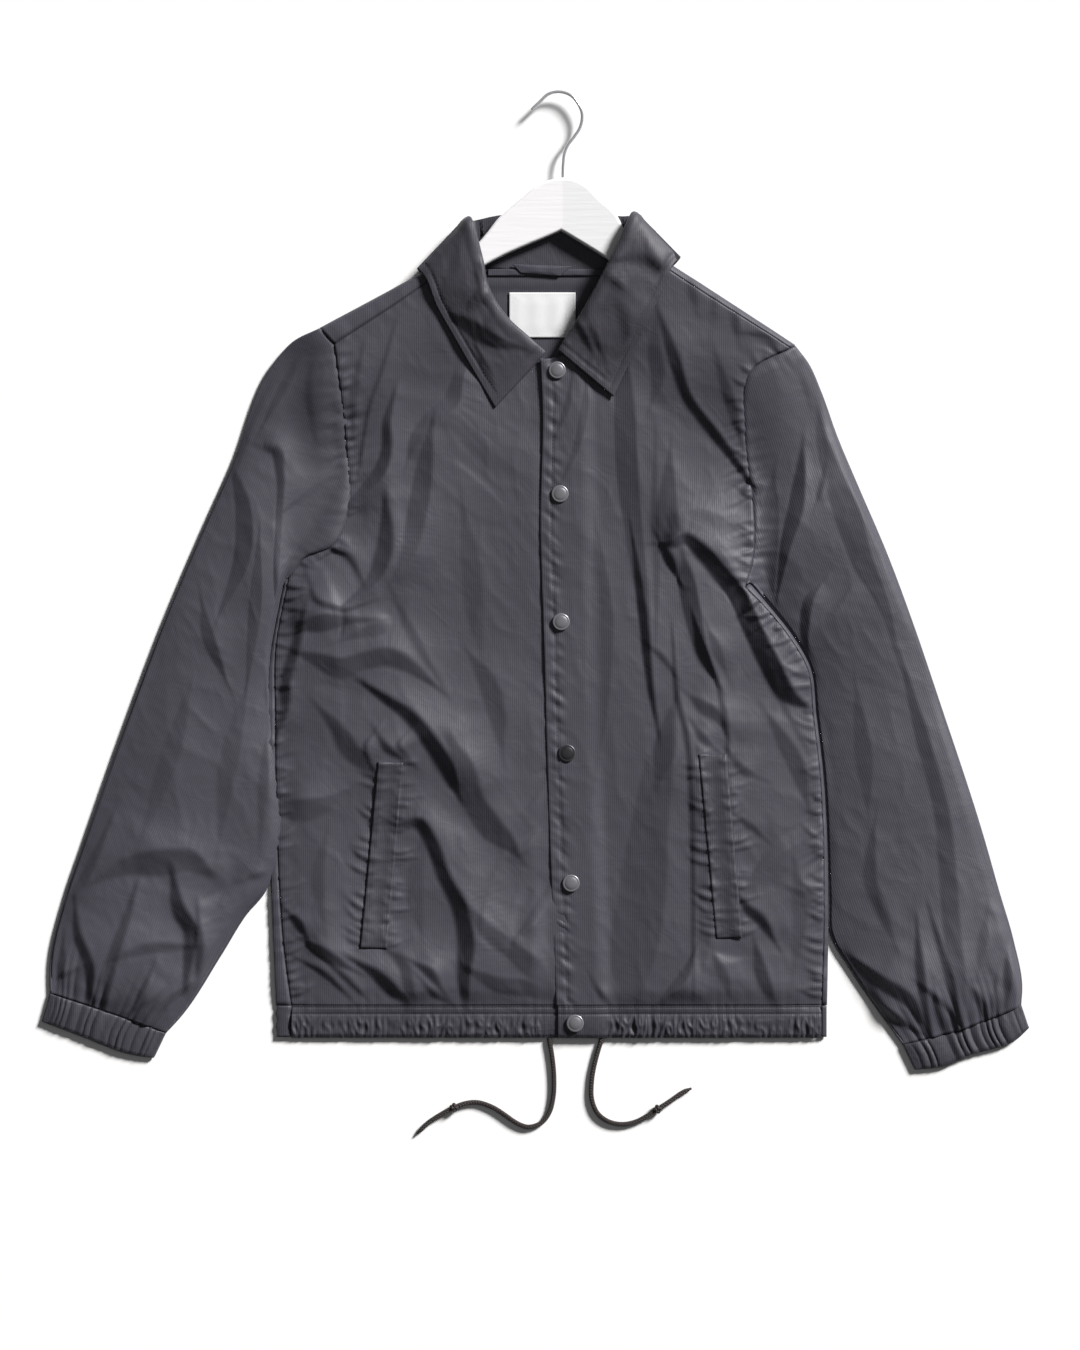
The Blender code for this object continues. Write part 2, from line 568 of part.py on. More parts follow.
def front_left_grid():
    side = moved_sideways(spread_along(SIDE_SEAM_LEFT, SIDE_STEPS), SEAM_GAP)
    hole = moved_sideways(spread_along(ARMHOLE_LEFT, ARMHOLE_STEPS), SEAM_GAP)
    right_line = np.vstack([side[:-1], hole])
    rows = len(right_line) - 1
    left_line = spread_along(FRONT_EDGE_LEFT, rows)
    neck = spread_along(NECKLINE_LEFT, FRONT_COLUMNS - 2 * SHOULDER_STEPS)
    seam = moved_sideways(spread_along(SHOULDER_SEAM_LEFT[::-1], 2 * SHOULDER_STEPS), -SEAM_GAP)
    top_line = np.vstack([neck, seam[1:]])
    top_line[0] = left_line[-1]
    top_line[-1] = right_line[-1]
    low_line = spread_along([left_line[0], right_line[0]], FRONT_COLUMNS)
    return with_height(patch(left_line, right_line, low_line, top_line, 1.0, 3.0), left_front_top)


def closed_ring(top, bottom, first_out, last_out):
    """A flattened ring: over the top from one edge to the other, and back along the floor."""
    arcs = []
    for end, outward, angles in ((0, first_out, (-30, 30)), (-1, last_out, (30, -30))):
        high, low = top[end], bottom[end]
        arc = []
        radius = (high[2] - low[2]) / 2
        for angle in angles:
            turn = math.radians(angle)
            spot = (high[:2] + low[:2]) / 2 + outward * math.cos(turn)
            arc.append((spot[0], spot[1], low[2] + radius * (1 + math.sin(turn))))
        arcs.append(arc)
    return np.array([*arcs[0], *top, *arcs[1], *bottom[::-1], arcs[0][0]])


def sleeve_grid(outer, inner, armhole, cuff_seam, folds, side):
    """Rings of points from the armhole to the cuff seam. side is 1 on the right and -1 on the left."""
    outer_line = spread_along(outer, SLEEVE_ROWS)
    inner_line = spread_along(inner, SLEEVE_ROWS, SLEEVE_INNER_EASE)
    head = moved_sideways(spread_along(armhole, ARMHOLE_STEPS), side * SEAM_GAP)[::-1]
    head = np.vstack([outer_line[0], head])
    head[-1] = inner_line[0]
    under = moved_sideways(spread_along(armhole, BACK_ARMHOLE_STEPS), side * SEAM_GAP)[::-1]
    under[0] = outer_line[0]
    under[-1] = inner_line[0]
    layers = []
    for line in (head, under):
        by_armpit = smooth_step(np.linspace(0.0, 1.0, len(line)), 0.45, 0.8)
        cuff = spread_along(cuff_seam, len(line) - 1)
        layers.append(patch(outer_line, inner_line, line, cuff, 12.0 + 24.0 * by_armpit, 2.0))
    top_flat, bottom_flat = layers
    outer_out = outer_line - moved_sideways(outer_line, side * EDGE_TURN)
    inner_out = inner_line - moved_sideways(inner_line, -side * EDGE_TURN)
    rings = []
    for j in range(SLEEVE_ROWS + 1):
        along = j / SLEEVE_ROWS
        top = top_flat[j]
        bottom = bottom_flat[j]
        for line in (top, bottom):
            line[0] -= outer_out[j]
            line[-1] -= inner_out[j]
        share = np.linspace(0.0, 1.0, len(top))
        crown = 1 - np.abs(2 * share - 1) ** 2.6
        own = SLEEVE_REST + SLEEVE_PUFF * crown * smooth_step(1 - along, 0.0, 0.12)
        edge_fade = smooth_step(crown, 0.0, 0.6)
        own = own + edge_fade * sum(fold_height(top[:, 0], top[:, 1], row) for row in folds)
        by_armhole = 1 - smooth_step(along, 0.0, 0.16)
        height = by_armhole * body_top(top[:, 0], top[:, 1]) + (1 - by_armhole) * own
        height = np.maximum(height, LOWEST_TOP + 0.5)
        top = np.column_stack([top, height])
        bottom = np.column_stack([bottom, np.full(len(bottom), FLOOR_WALL)])
        rings.append(closed_ring(top, bottom, outer_out[j], inner_out[j]))
    return np.array(rings)


def cuff_grid(cuff_seam, cuff_edge):
    """A gathered tube between the cuff seam and the cuff's edge."""
    columns = 2 * CUFF_GATHERS
    low_columns = CUFF_LOW_COLUMNS
    rings = []
    for share, puff in ((0.012, 0.0), (0.5, 1.0), (1.0, 0.0)):
        seam = spread_along(cuff_seam, columns)
        edge = spread_along(cuff_edge, columns)
        top = blend_points(seam, edge, share)
        low_seam, low_edge = spread_along(cuff_seam, low_columns), spread_along(cuff_edge, low_columns)
        bottom = blend_points(low_seam, low_edge, share)
        over = (top[-1] - top[0]) / np.linalg.norm(top[-1] - top[0]) * EDGE_TURN
        for line in (top, bottom):
            line[0] += over
            line[-1] -= over
        number = np.arange(columns + 1)
        crown = smooth_step(np.minimum(number, columns - number), 0, 4)
        ripple = CUFF_RIPPLE * np.where(number % 2 == 0, -1, 1) * (0.75 + 0.25 * np.cos(2.1 * number))
        height = SLEEVE_REST + 1.0 + crown * (ripple + 0.8 * puff + 1.0)
        top = np.column_stack([top, height])
        bottom = np.column_stack([bottom, np.full(len(bottom), FLOOR_WALL)])
        rings.append(closed_ring(top, bottom, -over, over))
    return np.array(rings)


def hem_front_grid(span, height, phase):
    """Gathered casing under one front, from its seam down to the hem's edge."""
    columns = 2 * HEM_GATHERS
    x = np.linspace(*span, columns + 1)
    number = np.arange(columns + 1)
    on_placket = 1 - smooth_step(np.abs(x - PLACKET_X), 24, 46)
    ripple = HEM_RIPPLE * np.where(number % 2 == 0, -1, 1) * (0.75 + 0.25 * np.cos(1.7 * number + phase))
    ripple = ripple * (1 - 0.75 * on_placket)
    rows = []
    for y, puff in ((HEM_HEIGHT - SEAM_GAP, 0.0), (HEM_HEIGHT / 2, HEM_PUFF), (0.0, 0.0)):
        z = height(x, np.full(len(x), max(y, HEM_HEIGHT / 2))) + ripple + puff
        rows.append(np.column_stack([x, np.full(len(x), y), z]))
    return np.array(rows)


def hem_back_grids():
    turns = []
    for side in (HEM_SIDE_RIGHT, HEM_SIDE_LEFT):
        outline = np.column_stack([side["outline_x"], (0.0, HEM_HEIGHT - SEAM_GAP)])
        seam = outline + np.array([side["seam_in"], 0])
        turns.append(turned_edge(outline, seam, body_top, back_wall))
    flat = np.stack([turn[:, 0, :2] for turn in turns], axis=1)
    return [with_height(flat, back_wall), *turns]


def collar_stations(on_right, on_left):
    """Neck seam, fold and outer edge of the collar, from its right front end round to its left."""
    right = []
    for row in COLLAR_FRONT_RIGHT:
        right.append(front_station(dict(zip(COLLAR_COLUMNS, row)), on_right))
    right.extend(turn_stations(COLLAR_PEAK_RIGHT, NECK_TURN[::-1], -1))
    back = []
    for x in (-45.0, -15.0, 15.0, 45.0):
        seam_y = np.interp(abs(x), [0, 30, 62], [712.6, 712.6, 716.6])
        back.append(((x, seam_y, 2.4), (x, COLLAR_BACK_FOLD_Y, 1.5), (x, COLLAR_BACK_EDGE_Y, FLOOR_WALL)))
    left = []
    for row in COLLAR_FRONT_LEFT:
        left.append(front_station(dict(zip(COLLAR_COLUMNS, row)), on_left))
    left.extend(turn_stations(COLLAR_PEAK_LEFT, [(-x, y + 2.5, z) for x, y, z in NECK_TURN[::-1]], 1))
    return np.array(right + back + left[::-1], float)


def front_station(row, under):
    """A station of the collar that lies on a front."""
    seam_z = float(under(row["seam_x"], row["seam_y"])) + CLOTH + LAID_GAP
    fold_z = seam_z + row["stand"]
    edge_z = float(under(row["edge_x"], row["edge_y"])) + CLOTH + COLLAR_GAP
    return (
        (row["seam_x"], row["seam_y"], seam_z),
        (row["fold_x"], row["fold_y"], fold_z),
        (row["edge_x"], row["edge_y"], edge_z),
    )


def turn_stations(peak, neck, side):
    """Stations that carry the collar from the front, round the shoulder's edge and under it."""
    fold = np.array(peak["fold"])
    edge = np.array(peak["edge"])
    run = edge - fold
    outward = np.array([run[1], -run[0]]) / np.linalg.norm(run) * (1 if side < 0 else -1)
    stations = []
    for angle, (x, y, z) in zip((90, 45, 0, -45, -90), neck):
        turn = math.radians(angle)
        come_in = outward * COLLAR_TURN_DEPTH * (1 - math.cos(turn))
        fold_z = 1.5 + (COLLAR_FOLD_TOP - 1.5) * (1 + math.sin(turn)) / 2
        edge_z = FLOOR_WALL + (COLLAR_EDGE_TOP - FLOOR_WALL) * (1 + math.sin(turn)) / 2
        stations.append(((x, y, z), (*(fold - come_in), fold_z), (*(edge - come_in), edge_z)))
    return stations


def collar_grid(on_right, on_left):
    """The collar's middle surface: up the stand, round the fold and down the fall."""
    stations = collar_stations(on_right, on_left)
    count = len(stations)
    rows = []
    for k in range(count):
        seam, fold, edge = (Vector(point) for point in stations[k])
        before = Vector(stations[max(k - 1, 0), 1])
        after = Vector(stations[min(k + 1, count - 1), 1])
        tangent = (after - before).normalized()
        toward = fold - (seam + edge) / 2
        toward = (toward - tangent * toward.dot(tangent)).normalized()
        outward = toward.cross(tangent).normalized()
        at_back = 1 - min(1.0, abs(k - (count - 1) / 2) / 5.0)
        by_back = float(smooth_step(at_back, 0.1, 0.5))
        gap = blend_points(COLLAR_ROLL_GAP, COLLAR_STAND_GAP, by_back)
        if FRONT_STATIONS <= k < count - FRONT_STATIONS:
            gap = min(gap, 1.2 * (fold - seam).length)
        else:
            gap = min(gap, 1.5 * (fold.z - seam.z))
        radius = gap / 2
        inner = fold - toward * radius - outward * radius
        outer = fold - toward * radius + outward * radius
        row = [seam.lerp(inner, share / COLLAR_ACROSS_STAND) for share in range(COLLAR_ACROSS_STAND + 1)]
        centre = fold - toward * radius
        for angle in (-40, 0, 40):
            turn = math.radians(angle)
            row.append(centre + toward * radius * math.cos(turn) + outward * radius * math.sin(turn))
        row.extend(outer.lerp(edge, share / COLLAR_ACROSS_FALL) for share in range(COLLAR_ACROSS_FALL + 1))
        rows.append([tuple(point) for point in row])
    grid = np.array(rows)
    settle_fall(grid, 5, on_right, slice(0, FRONT_STATIONS))
    settle_fall(grid, 5, on_left, slice(count - FRONT_STATIONS, count))
    return grid


def settle_fall(grid, first_column, under, stations):
    """Keeps the fall above the front that it lies on."""
    part = grid[stations, first_column:]
    least = under(part[..., 0], part[..., 1]) + CLOTH + COLLAR_GAP
    part[..., 2] = np.maximum(part[..., 2], least)


def laid_quad(top, bottom, rows, columns, height, lift):
    """A strip that follows what it lies on, from its corner points."""
    upper = spread_along(top, columns)
    lower = spread_along(bottom, columns)
    flat = np.array([blend_points(lower, upper, j / rows) for j in range(rows + 1)])
    grid = with_height(flat, height)
    grid[..., 2] += lift
    return grid


def add_welts(on_right, on_left):
    lift = (CLOTH + WELT_THICKNESS) / 2 + 2 * LAID_GAP
    for name, corners, height in (("welt_right", WELT_RIGHT, on_right), ("welt_left", WELT_LEFT, on_left)):
        grid = laid_quad(corners["top"], corners["bottom"], WELT_ROWS, 3, height, lift)
        cloth(name, [grid], thickness=WELT_THICKNESS)


def add_neck_trim():
    low, high = NECK_TAPE_BOX["low"], NECK_TAPE_BOX["high"]
    tape_lift = (CLOTH + TRIM) / 2 + LAID_GAP
    tape = laid_quad([(low[0], high[1]), high], [low, (high[0], low[1])], 1, 8, back_wall, tape_lift)
    cloth("neck_tape", [tape], "lining_side", TRIM)
    loop_lift = tape_lift + (TRIM + CLOTH) / 2 + LAID_GAP
    loop = laid_quad(HANGER_LOOP["top"], HANGER_LOOP["bottom"], 1, 6, back_wall, loop_lift)
    cloth("hanger_loop", [loop], "lining_side")
    low, high = NECK_LABEL_BOX["low"], NECK_LABEL_BOX["high"]
    label = laid_quad([(low[0], high[1]), high], [low, (high[0], low[1])], 4, 4, back_wall, tape_lift)
    cloth("neck_label", [label], "label_white", TRIM)


def turned_solid(name, profile, sides, finish_name):
    """A round piece turned about z. The profile gives radius and height, from its foot up."""
    mesh = bpy.data.meshes.new(name)
    shell = bmesh.new()
    rings = []
    for radius, height in profile:
        ring = []
        for k in range(sides):
            turn = 2 * math.pi * k / sides
            spot = (radius * math.cos(turn), radius * math.sin(turn), height)
            ring.append(shell.verts.new([MM * along for along in spot]))
        rings.append(ring)
    for lower, upper in zip(rings, rings[1:]):
        for k in range(sides):
            near = (k + 1) % sides
            shell.faces.new((lower[k], lower[near], upper[near], upper[k]))
    if profile[0] != profile[-1]:
        shell.faces.new(rings[0][::-1])
        shell.faces.new(rings[-1])
    bmesh.ops.remove_doubles(shell, verts=shell.verts, dist=0.00001)
    bmesh.ops.recalc_face_normals(shell, faces=shell.faces)
    shell.to_mesh(mesh)
    shell.free()
    mesh.shade_smooth()
    return add_object(name, mesh, finish_name)


def add_snaps(on_left):
    radius = SNAP_DIAMETER / 2
    profile = [
        (radius - 0.6, 0), (radius, 0.5), (radius, 1.1), (radius - 1.2, 2.0), (radius * 0.5, SNAP_HEIGHT),
    ]
    around = np.linspace(0, 2 * math.pi, SNAP_SIDES + 1)
    for number, (x, y) in enumerate(SNAP_CENTRES, start=1):
        piece = turned_solid(f"snap_{number}", profile, SNAP_SIDES, "snap_metal")
        rim_x = np.concatenate([[x], x + radius * np.cos(around), x + radius / 2 * np.cos(around)])
        rim_y = np.concatenate([[y], y + radius * np.sin(around), y + radius / 2 * np.sin(around)])
        carried = on_left(rim_x, rim_y).max()
        if y < HEM_HEIGHT + radius:
            carried += HEM_PUFF + 0.4 * HEM_RIPPLE
        piece.location = ((x - MIDDLE_X) * MM, (y - MIDDLE_Y) * MM, (carried + CLOTH / 2 + LAID_GAP) * MM)


def tube(name, route, diameter, finish_name):
    """A round cord or wire along a smooth route, in millimetres."""
    line = bpy.data.curves.new(name, "CURVE")
    line.dimensions = "3D"
    line.bevel_depth = diameter / 2 * MM
    line.bevel_resolution = 2
    line.use_fill_caps = True
    spline = line.splines.new("POLY")
    spline.points.add(len(route) - 1)
    for point, spot in zip(spline.points, to_metres(route)):
        point.co = (*spot, 1.0)
    return add_object(name, line, finish_name)


def add_cord(side, route, knot_point):
    smooth = smooth_route(route, CORD_POINTS)
    tube(f"drawcord_{side}", smooth, CORD_DIAMETER, "cord_black")
    hole = CORD_DIAMETER / 2 + KNOT_CLEARANCE
    outer = KNOT_DIAMETER / 2
    half = KNOT_LENGTH / 2
    profile = [
        (hole, -half + 1.2), (hole + 0.8, -half), (outer, -half * 0.4), (outer, half * 0.4),
        (hole + 0.8, half), (hole, half - 1.2), (hole, -half + 1.2),
    ]
    knot = turned_solid(f"cord_knot_{side}", profile, KNOT_SIDES, "cord_black")
    spot = np.array(route[knot_point], float)
    nearest = int(np.argmin(np.linalg.norm(smooth - spot, axis=1)))
    direction = Vector(smooth[nearest + 1] - smooth[nearest - 1])
    knot.location = to_metres([smooth[nearest]])[0]
    knot.rotation_mode = "QUATERNION"
    knot.rotation_quaternion = direction.to_track_quat("Z", "Y")


def add_hanger():
    outline = WOOD_TOP + WOOD_UNDER
    mesh = bpy.data.meshes.new("hanger_wood")
    shell = bmesh.new()
    corners = [shell.verts.new(spot) for spot in to_metres([(x, y, WOOD_BOTTOM) for x, y in outline])]
    face = shell.faces.new(corners)
    raised = bmesh.ops.extrude_face_region(shell, geom=[face])
    moved = [part for part in raised["geom"] if isinstance(part, bmesh.types.BMVert)]
    bmesh.ops.translate(shell, verts=moved, vec=(0, 0, WOOD_THICKNESS * MM))
    bmesh.ops.recalc_face_normals(shell, faces=shell.faces)
    shell.to_mesh(mesh)
    shell.free()
    wood = add_object("hanger_wood", mesh, "painted_white")
    bevel = wood.modifiers.new("rounded edges", "BEVEL")
    bevel.width = WOOD_BEVEL * MM
    bevel.segments = 2
    bevel.limit_method = "ANGLE"
    bevel.angle_limit = math.radians(60)
    middle = WOOD_BOTTOM + WOOD_THICKNESS / 2
    route = smooth_route([(x, y, middle) for x, y in HOOK_ROUTE], HOOK_POINTS)
    tube("hanger_hook", route, HOOK_WIRE, "chrome")


def main():
    for old in list(bpy.data.objects):
        bpy.data.objects.remove(old, do_unlink=True)
    front_right = front_right_grid()
    front_left = front_left_grid()
    on_right = height_on(front_right, body_top)
    on_left = height_on(front_left, left_front_top)
    add_back()
    cloth("front_right", [front_right])
    cloth("front_left", [front_left])
    cloth("sleeve_right", [sleeve_grid(*SLEEVE_RIGHT)])
    cloth("sleeve_left", [sleeve_grid(*SLEEVE_LEFT)])
    cloth("cuff_right", [cuff_grid(CUFF_SEAM_RIGHT, CUFF_EDGE_RIGHT)])
    cloth("cuff_left", [cuff_grid(CUFF_SEAM_LEFT, CUFF_EDGE_LEFT)])
    cloth("hem_front_right", [hem_front_grid(HEM_SPAN_RIGHT, body_top, 0.0)])
    cloth("hem_front_left", [hem_front_grid(HEM_SPAN_LEFT, left_front_top, 1.0)])
    cloth("hem_back", hem_back_grids())
    cloth("collar", [collar_grid(on_right, on_left)])
    add_welts(on_right, on_left)
    add_neck_trim()
    add_snaps(on_left)
    add_cord("right", CORD_ROUTE_RIGHT, KNOT_POINT_RIGHT)
    add_cord("left", CORD_ROUTE_LEFT, KNOT_POINT_LEFT)
    add_hanger()


main()
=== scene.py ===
import math
import random

import bmesh
import bpy
import numpy as np
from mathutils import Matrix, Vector, noise


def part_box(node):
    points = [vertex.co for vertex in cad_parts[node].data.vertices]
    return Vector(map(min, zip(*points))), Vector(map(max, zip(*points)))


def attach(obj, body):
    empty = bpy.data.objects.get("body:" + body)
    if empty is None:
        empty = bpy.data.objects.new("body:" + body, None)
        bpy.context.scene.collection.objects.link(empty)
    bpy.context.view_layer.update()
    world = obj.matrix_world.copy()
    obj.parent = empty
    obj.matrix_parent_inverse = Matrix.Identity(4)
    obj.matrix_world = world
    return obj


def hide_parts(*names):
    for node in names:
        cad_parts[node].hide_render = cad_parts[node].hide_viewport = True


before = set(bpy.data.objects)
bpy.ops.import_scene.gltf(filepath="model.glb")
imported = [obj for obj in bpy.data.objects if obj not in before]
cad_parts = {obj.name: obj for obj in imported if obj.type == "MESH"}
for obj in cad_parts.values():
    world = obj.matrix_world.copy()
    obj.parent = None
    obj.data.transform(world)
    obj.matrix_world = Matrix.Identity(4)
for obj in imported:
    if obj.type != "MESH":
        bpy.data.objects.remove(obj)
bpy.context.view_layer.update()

# Points are in millimetres: x from the front centre to the picture's right, y up from the hem's
# edge, z up from the floor. Left and right in the names are the wearer's.
layout = {"middleX": -15.3, "middleY": 424.6}


def toFrame(points):
    spots = np.array(points, float)
    spots[..., 0] -= layout["middleX"]
    spots[..., 1] -= layout["middleY"]
    return spots / 1000


def smoothStep(value, low, high):
    share = np.clip((value - low) / (high - low), 0.0, 1.0)
    return share * share * (3.0 - 2.0 * share)


def spreadAlong(points, steps, ease=1.0):
    corners = np.array(points, float)
    runs = np.linalg.norm(np.diff(corners, axis=0), axis=1)
    reached = np.concatenate([[0.0], np.cumsum(runs)])
    wanted = np.linspace(0.0, 1.0, steps + 1) ** ease * reached[-1]
    return np.stack([np.interp(wanted, reached, corners[:, k]) for k in range(corners.shape[1])], axis=1)


# Points between each two of the given ones, on a curve whose bends suit uneven distances.
def curveBetween(given, shares):
    steps = np.linalg.norm(np.diff(given, axis=0), axis=1)[:, None]
    slopes = np.diff(given, axis=0) / steps
    inner = (slopes[:-1] * steps[1:] + slopes[1:] * steps[:-1]) / (steps[1:] + steps[:-1])
    tangents = np.vstack([slopes[:1], inner, slopes[-1:]])
    fine = []
    for i, step in enumerate(steps):
        for share in shares:
            square, cube = share**2, share**3
            spot = given[i] * (2 * cube - 3 * square + 1) + given[i + 1] * (3 * square - 2 * cube)
            bend = tangents[i] * (cube - 2 * square + share) + tangents[i + 1] * (cube - square)
            fine.append(spot + step * bend)
    fine.append(given[-1])
    return np.array(fine)


# A smooth curve through the given points, as count points at even distances while ease is 1.
def smoothRoute(points, count, ease=1.0):
    return spreadAlong(curveBetween(np.array(points, float), np.arange(12) / 12), count - 1, ease)


cameraSet = {"middle": (-11.2, 337.6), "tall": 1.2555, "above": 3.0, "lookAt": 0.008, "sensor": 36.0}


def addCamera():
    data = bpy.data.cameras.new("pictureCamera")
    data.sensor_fit = "VERTICAL"
    data.sensor_height = cameraSet["sensor"]
    data.lens = cameraSet["sensor"] * (cameraSet["above"] - cameraSet["lookAt"]) / cameraSet["tall"]
    data.clip_end = 30.0
    camera = bpy.data.objects.new("pictureCamera", data)
    bpy.context.scene.collection.objects.link(camera)
    x, y = toFrame([cameraSet["middle"]])[0]
    camera.location = (x, y, cameraSet["above"])
    bpy.context.scene.camera = camera


addCamera()
print("camera set")


# Node helpers: a socket, a number or a colour may be given for each input.
def feed(tree, socket, value):
    if isinstance(value, bpy.types.NodeSocket):
        tree.links.new(value, socket)
    elif value is not None:
        socket.default_value = value


def addNode(tree, kind, inputs=(), **settings):
    node = tree.nodes.new(kind)
    for name, value in settings.items():
        setattr(node, name, value)
    for name, value in dict(inputs).items():
        feed(tree, node.inputs[name], value)
    return node


def calc(tree, operation, *values):
    node = addNode(tree, "ShaderNodeMath", operation=operation)
    for socket, value in zip(node.inputs, values):
        feed(tree, socket, value)
    return node.outputs[0]


# A wave between 0 and 1.
def waveOf(tree, turns):
    sine = calc(tree, "SINE", calc(tree, "MULTIPLY", turns, 2 * math.pi))
    return calc(tree, "MULTIPLY_ADD", sine, 0.5, 0.5)


def noiseNode(tree, place, scale, **more):
    inputs = {"Vector": place, "Scale": scale, **more}
    return addNode(tree, "ShaderNodeTexNoise", inputs).outputs["Fac"]


# Takes a value from one range to another, held at both ends.
def ranged(tree, value, **ends):
    inputs = {"Value": value, **{name.replace("_", " "): end for name, end in ends.items()}}
    return addNode(tree, "ShaderNodeMapRange", inputs).outputs["Result"]


def shaded(tree, color, value, saturation=1.0):
    inputs = {"Color": color, "Value": value, "Saturation": saturation}
    return addNode(tree, "ShaderNodeHueSaturation", inputs).outputs["Color"]


def mixColors(tree, share, first, second):
    node = addNode(tree, "ShaderNodeMix", data_type="RGBA")
    feed(tree, node.inputs["Factor"], share)
    feed(tree, node.inputs[6], first)
    feed(tree, node.inputs[7], second)
    return node.outputs[2]


def newGroup(name, inputs, outputs):
    group = bpy.data.node_groups.new(name, "ShaderNodeTree")
    kinds = {"vector": "NodeSocketVector", "color": "NodeSocketColor", "value": "NodeSocketFloat"}
    for label, kind in inputs:
        group.interface.new_socket(label, in_out="INPUT", socket_type=kinds[kind])
    for label, kind in outputs:
        group.interface.new_socket(label, in_out="OUTPUT", socket_type=kinds[kind])
    start = group.nodes.new("NodeGroupInput").outputs
    end = group.nodes.new("NodeGroupOutput").inputs
    return group, start, end


def ribsAndValleyShadeGroup():
    group, start, end = newGroup(
        "ribsAndValleyShade",
        [("Place", "vector"), ("Color", "color"), ("Rib Pitch", "value"), ("Rib Valley Shade", "value")],
        [("Color", "color"), ("Height", "value")],
    )
    split = addNode(group, "ShaderNodeSeparateXYZ", {"Vector": start["Place"]})
    wander = noiseNode(group, start["Place"], 14.0, Detail=2.0)
    shifted = calc(group, "MULTIPLY_ADD", wander, 0.004, split.outputs["X"])
    rib = waveOf(group, calc(group, "DIVIDE", shifted, start["Rib Pitch"]))
    thread = calc(group, "MULTIPLY", start["Rib Pitch"], 0.45)
    pick = waveOf(group, calc(group, "DIVIDE", split.outputs["Y"], thread))
    feed(group, end["Height"], calc(group, "MULTIPLY_ADD", pick, 0.18, rib))
    # The rib valleys are painted darker, as painted shade, on top of their bump.
    paintedValleyShade = calc(group, "MULTIPLY", calc(group, "SUBTRACT", 1.0, rib), start["Rib Valley Shade"])
    feed(group, end["Color"], mixColors(group, paintedValleyShade, start["Color"], shaded(group, start["Color"], 0.35)))
    return group


def clothWearGroup():
    group, start, end = newGroup(
        "clothWear",
        [("Place", "vector"), ("Color", "color"), ("Fading", "value"), ("Crumple", "value")],
        [("Color", "color"), ("Roughness", "value"), ("Height", "value")],
    )
    broad = noiseNode(group, start["Place"], 7.0, Detail=3.0)
    share = calc(group, "MULTIPLY", ranged(group, broad, From_Min=0.42, From_Max=0.75), start["Fading"])
    faded = shaded(group, start["Color"], 1.5, 0.85)
    feed(group, end["Color"], mixColors(group, share, start["Color"], faded))
    dust = noiseNode(group, start["Place"], 60.0, Detail=4.0)
    feed(group, end["Roughness"], ranged(group, dust, To_Min=0.50, To_Max=0.66))
    crush = noiseNode(group, start["Place"], 34.0, Detail=3.0, Roughness=0.55, Distortion=0.6)
    ridge = calc(group, "ABSOLUTE", calc(group, "SUBTRACT", crush, 0.5))
    ridge = calc(group, "SUBTRACT", 1.0, calc(group, "MULTIPLY", ridge, 4.0))
    feed(group, end["Height"], calc(group, "MULTIPLY", ridge, start["Crumple"]))
    return group


def rubbedEdgeGroup():
    group, start, end = newGroup(
        "rubbedEdges",
        [("Place", "vector"), ("Color", "color"), ("Worn Color", "color"), ("Amount", "value")],
        [("Color", "color"), ("Roughness", "value"), ("Height", "value")],
    )
    spots = noiseNode(group, start["Place"], 90.0, Detail=5.0)
    curve = addNode(group, "ShaderNodeNewGeometry").outputs["Pointiness"]
    worn = calc(group, "MULTIPLY", ranged(group, curve, From_Min=0.52, From_Max=0.62), spots)
    worn = calc(group, "MINIMUM", calc(group, "MULTIPLY", worn, start["Amount"]), 1.0)
    feed(group, end["Color"], mixColors(group, worn, start["Color"], start["Worn Color"]))
    feed(group, end["Roughness"], ranged(group, spots, To_Min=0.22, To_Max=0.48))
    feed(group, end["Height"], spots)
    return group


ribsAndValleyShade = ribsAndValleyShadeGroup()
clothWear = clothWearGroup()
rubbedEdges = rubbedEdgeGroup()


def startMaterial(name):
    material = bpy.data.materials.new(name)
    material.use_nodes = True
    tree = material.node_tree
    return material, tree, tree.nodes["Principled BSDF"]


def placeOn(tree):
    return addNode(tree, "ShaderNodeTexCoord").outputs["Object"]


# What each finish hands to its shader. Depth is how high its relief stands, in metres.
def dress(tree, shader, color, roughness, height, depth, strength=1.0):
    bump = addNode(tree, "ShaderNodeBump", {"Height": height, "Distance": depth, "Strength": strength})
    feed(tree, shader.inputs["Base Color"], color)
    feed(tree, shader.inputs["Roughness"], roughness)
    feed(tree, shader.inputs["Normal"], bump.outputs["Normal"])


def addGroup(tree, group, inputs):
    node = addNode(tree, "ShaderNodeGroup", node_tree=group)
    for name, value in inputs.items():
        feed(tree, node.inputs[name], value)
    return node.outputs


# Charcoal nylon, with painted shade darkening its rib valleys. Lengths are in metres.
nylonLook = {
    "color": (0.0530, 0.0510, 0.0670, 1), "ribPitch": 0.0020, "ribContrast": 0.30, "fading": 0.30,
    "crumple": 0.45, "ribHeight": 0.16, "bump": 0.00042, "sheen": 0.06, "sheenRoughness": 0.4, "gloss": 0.42,
}


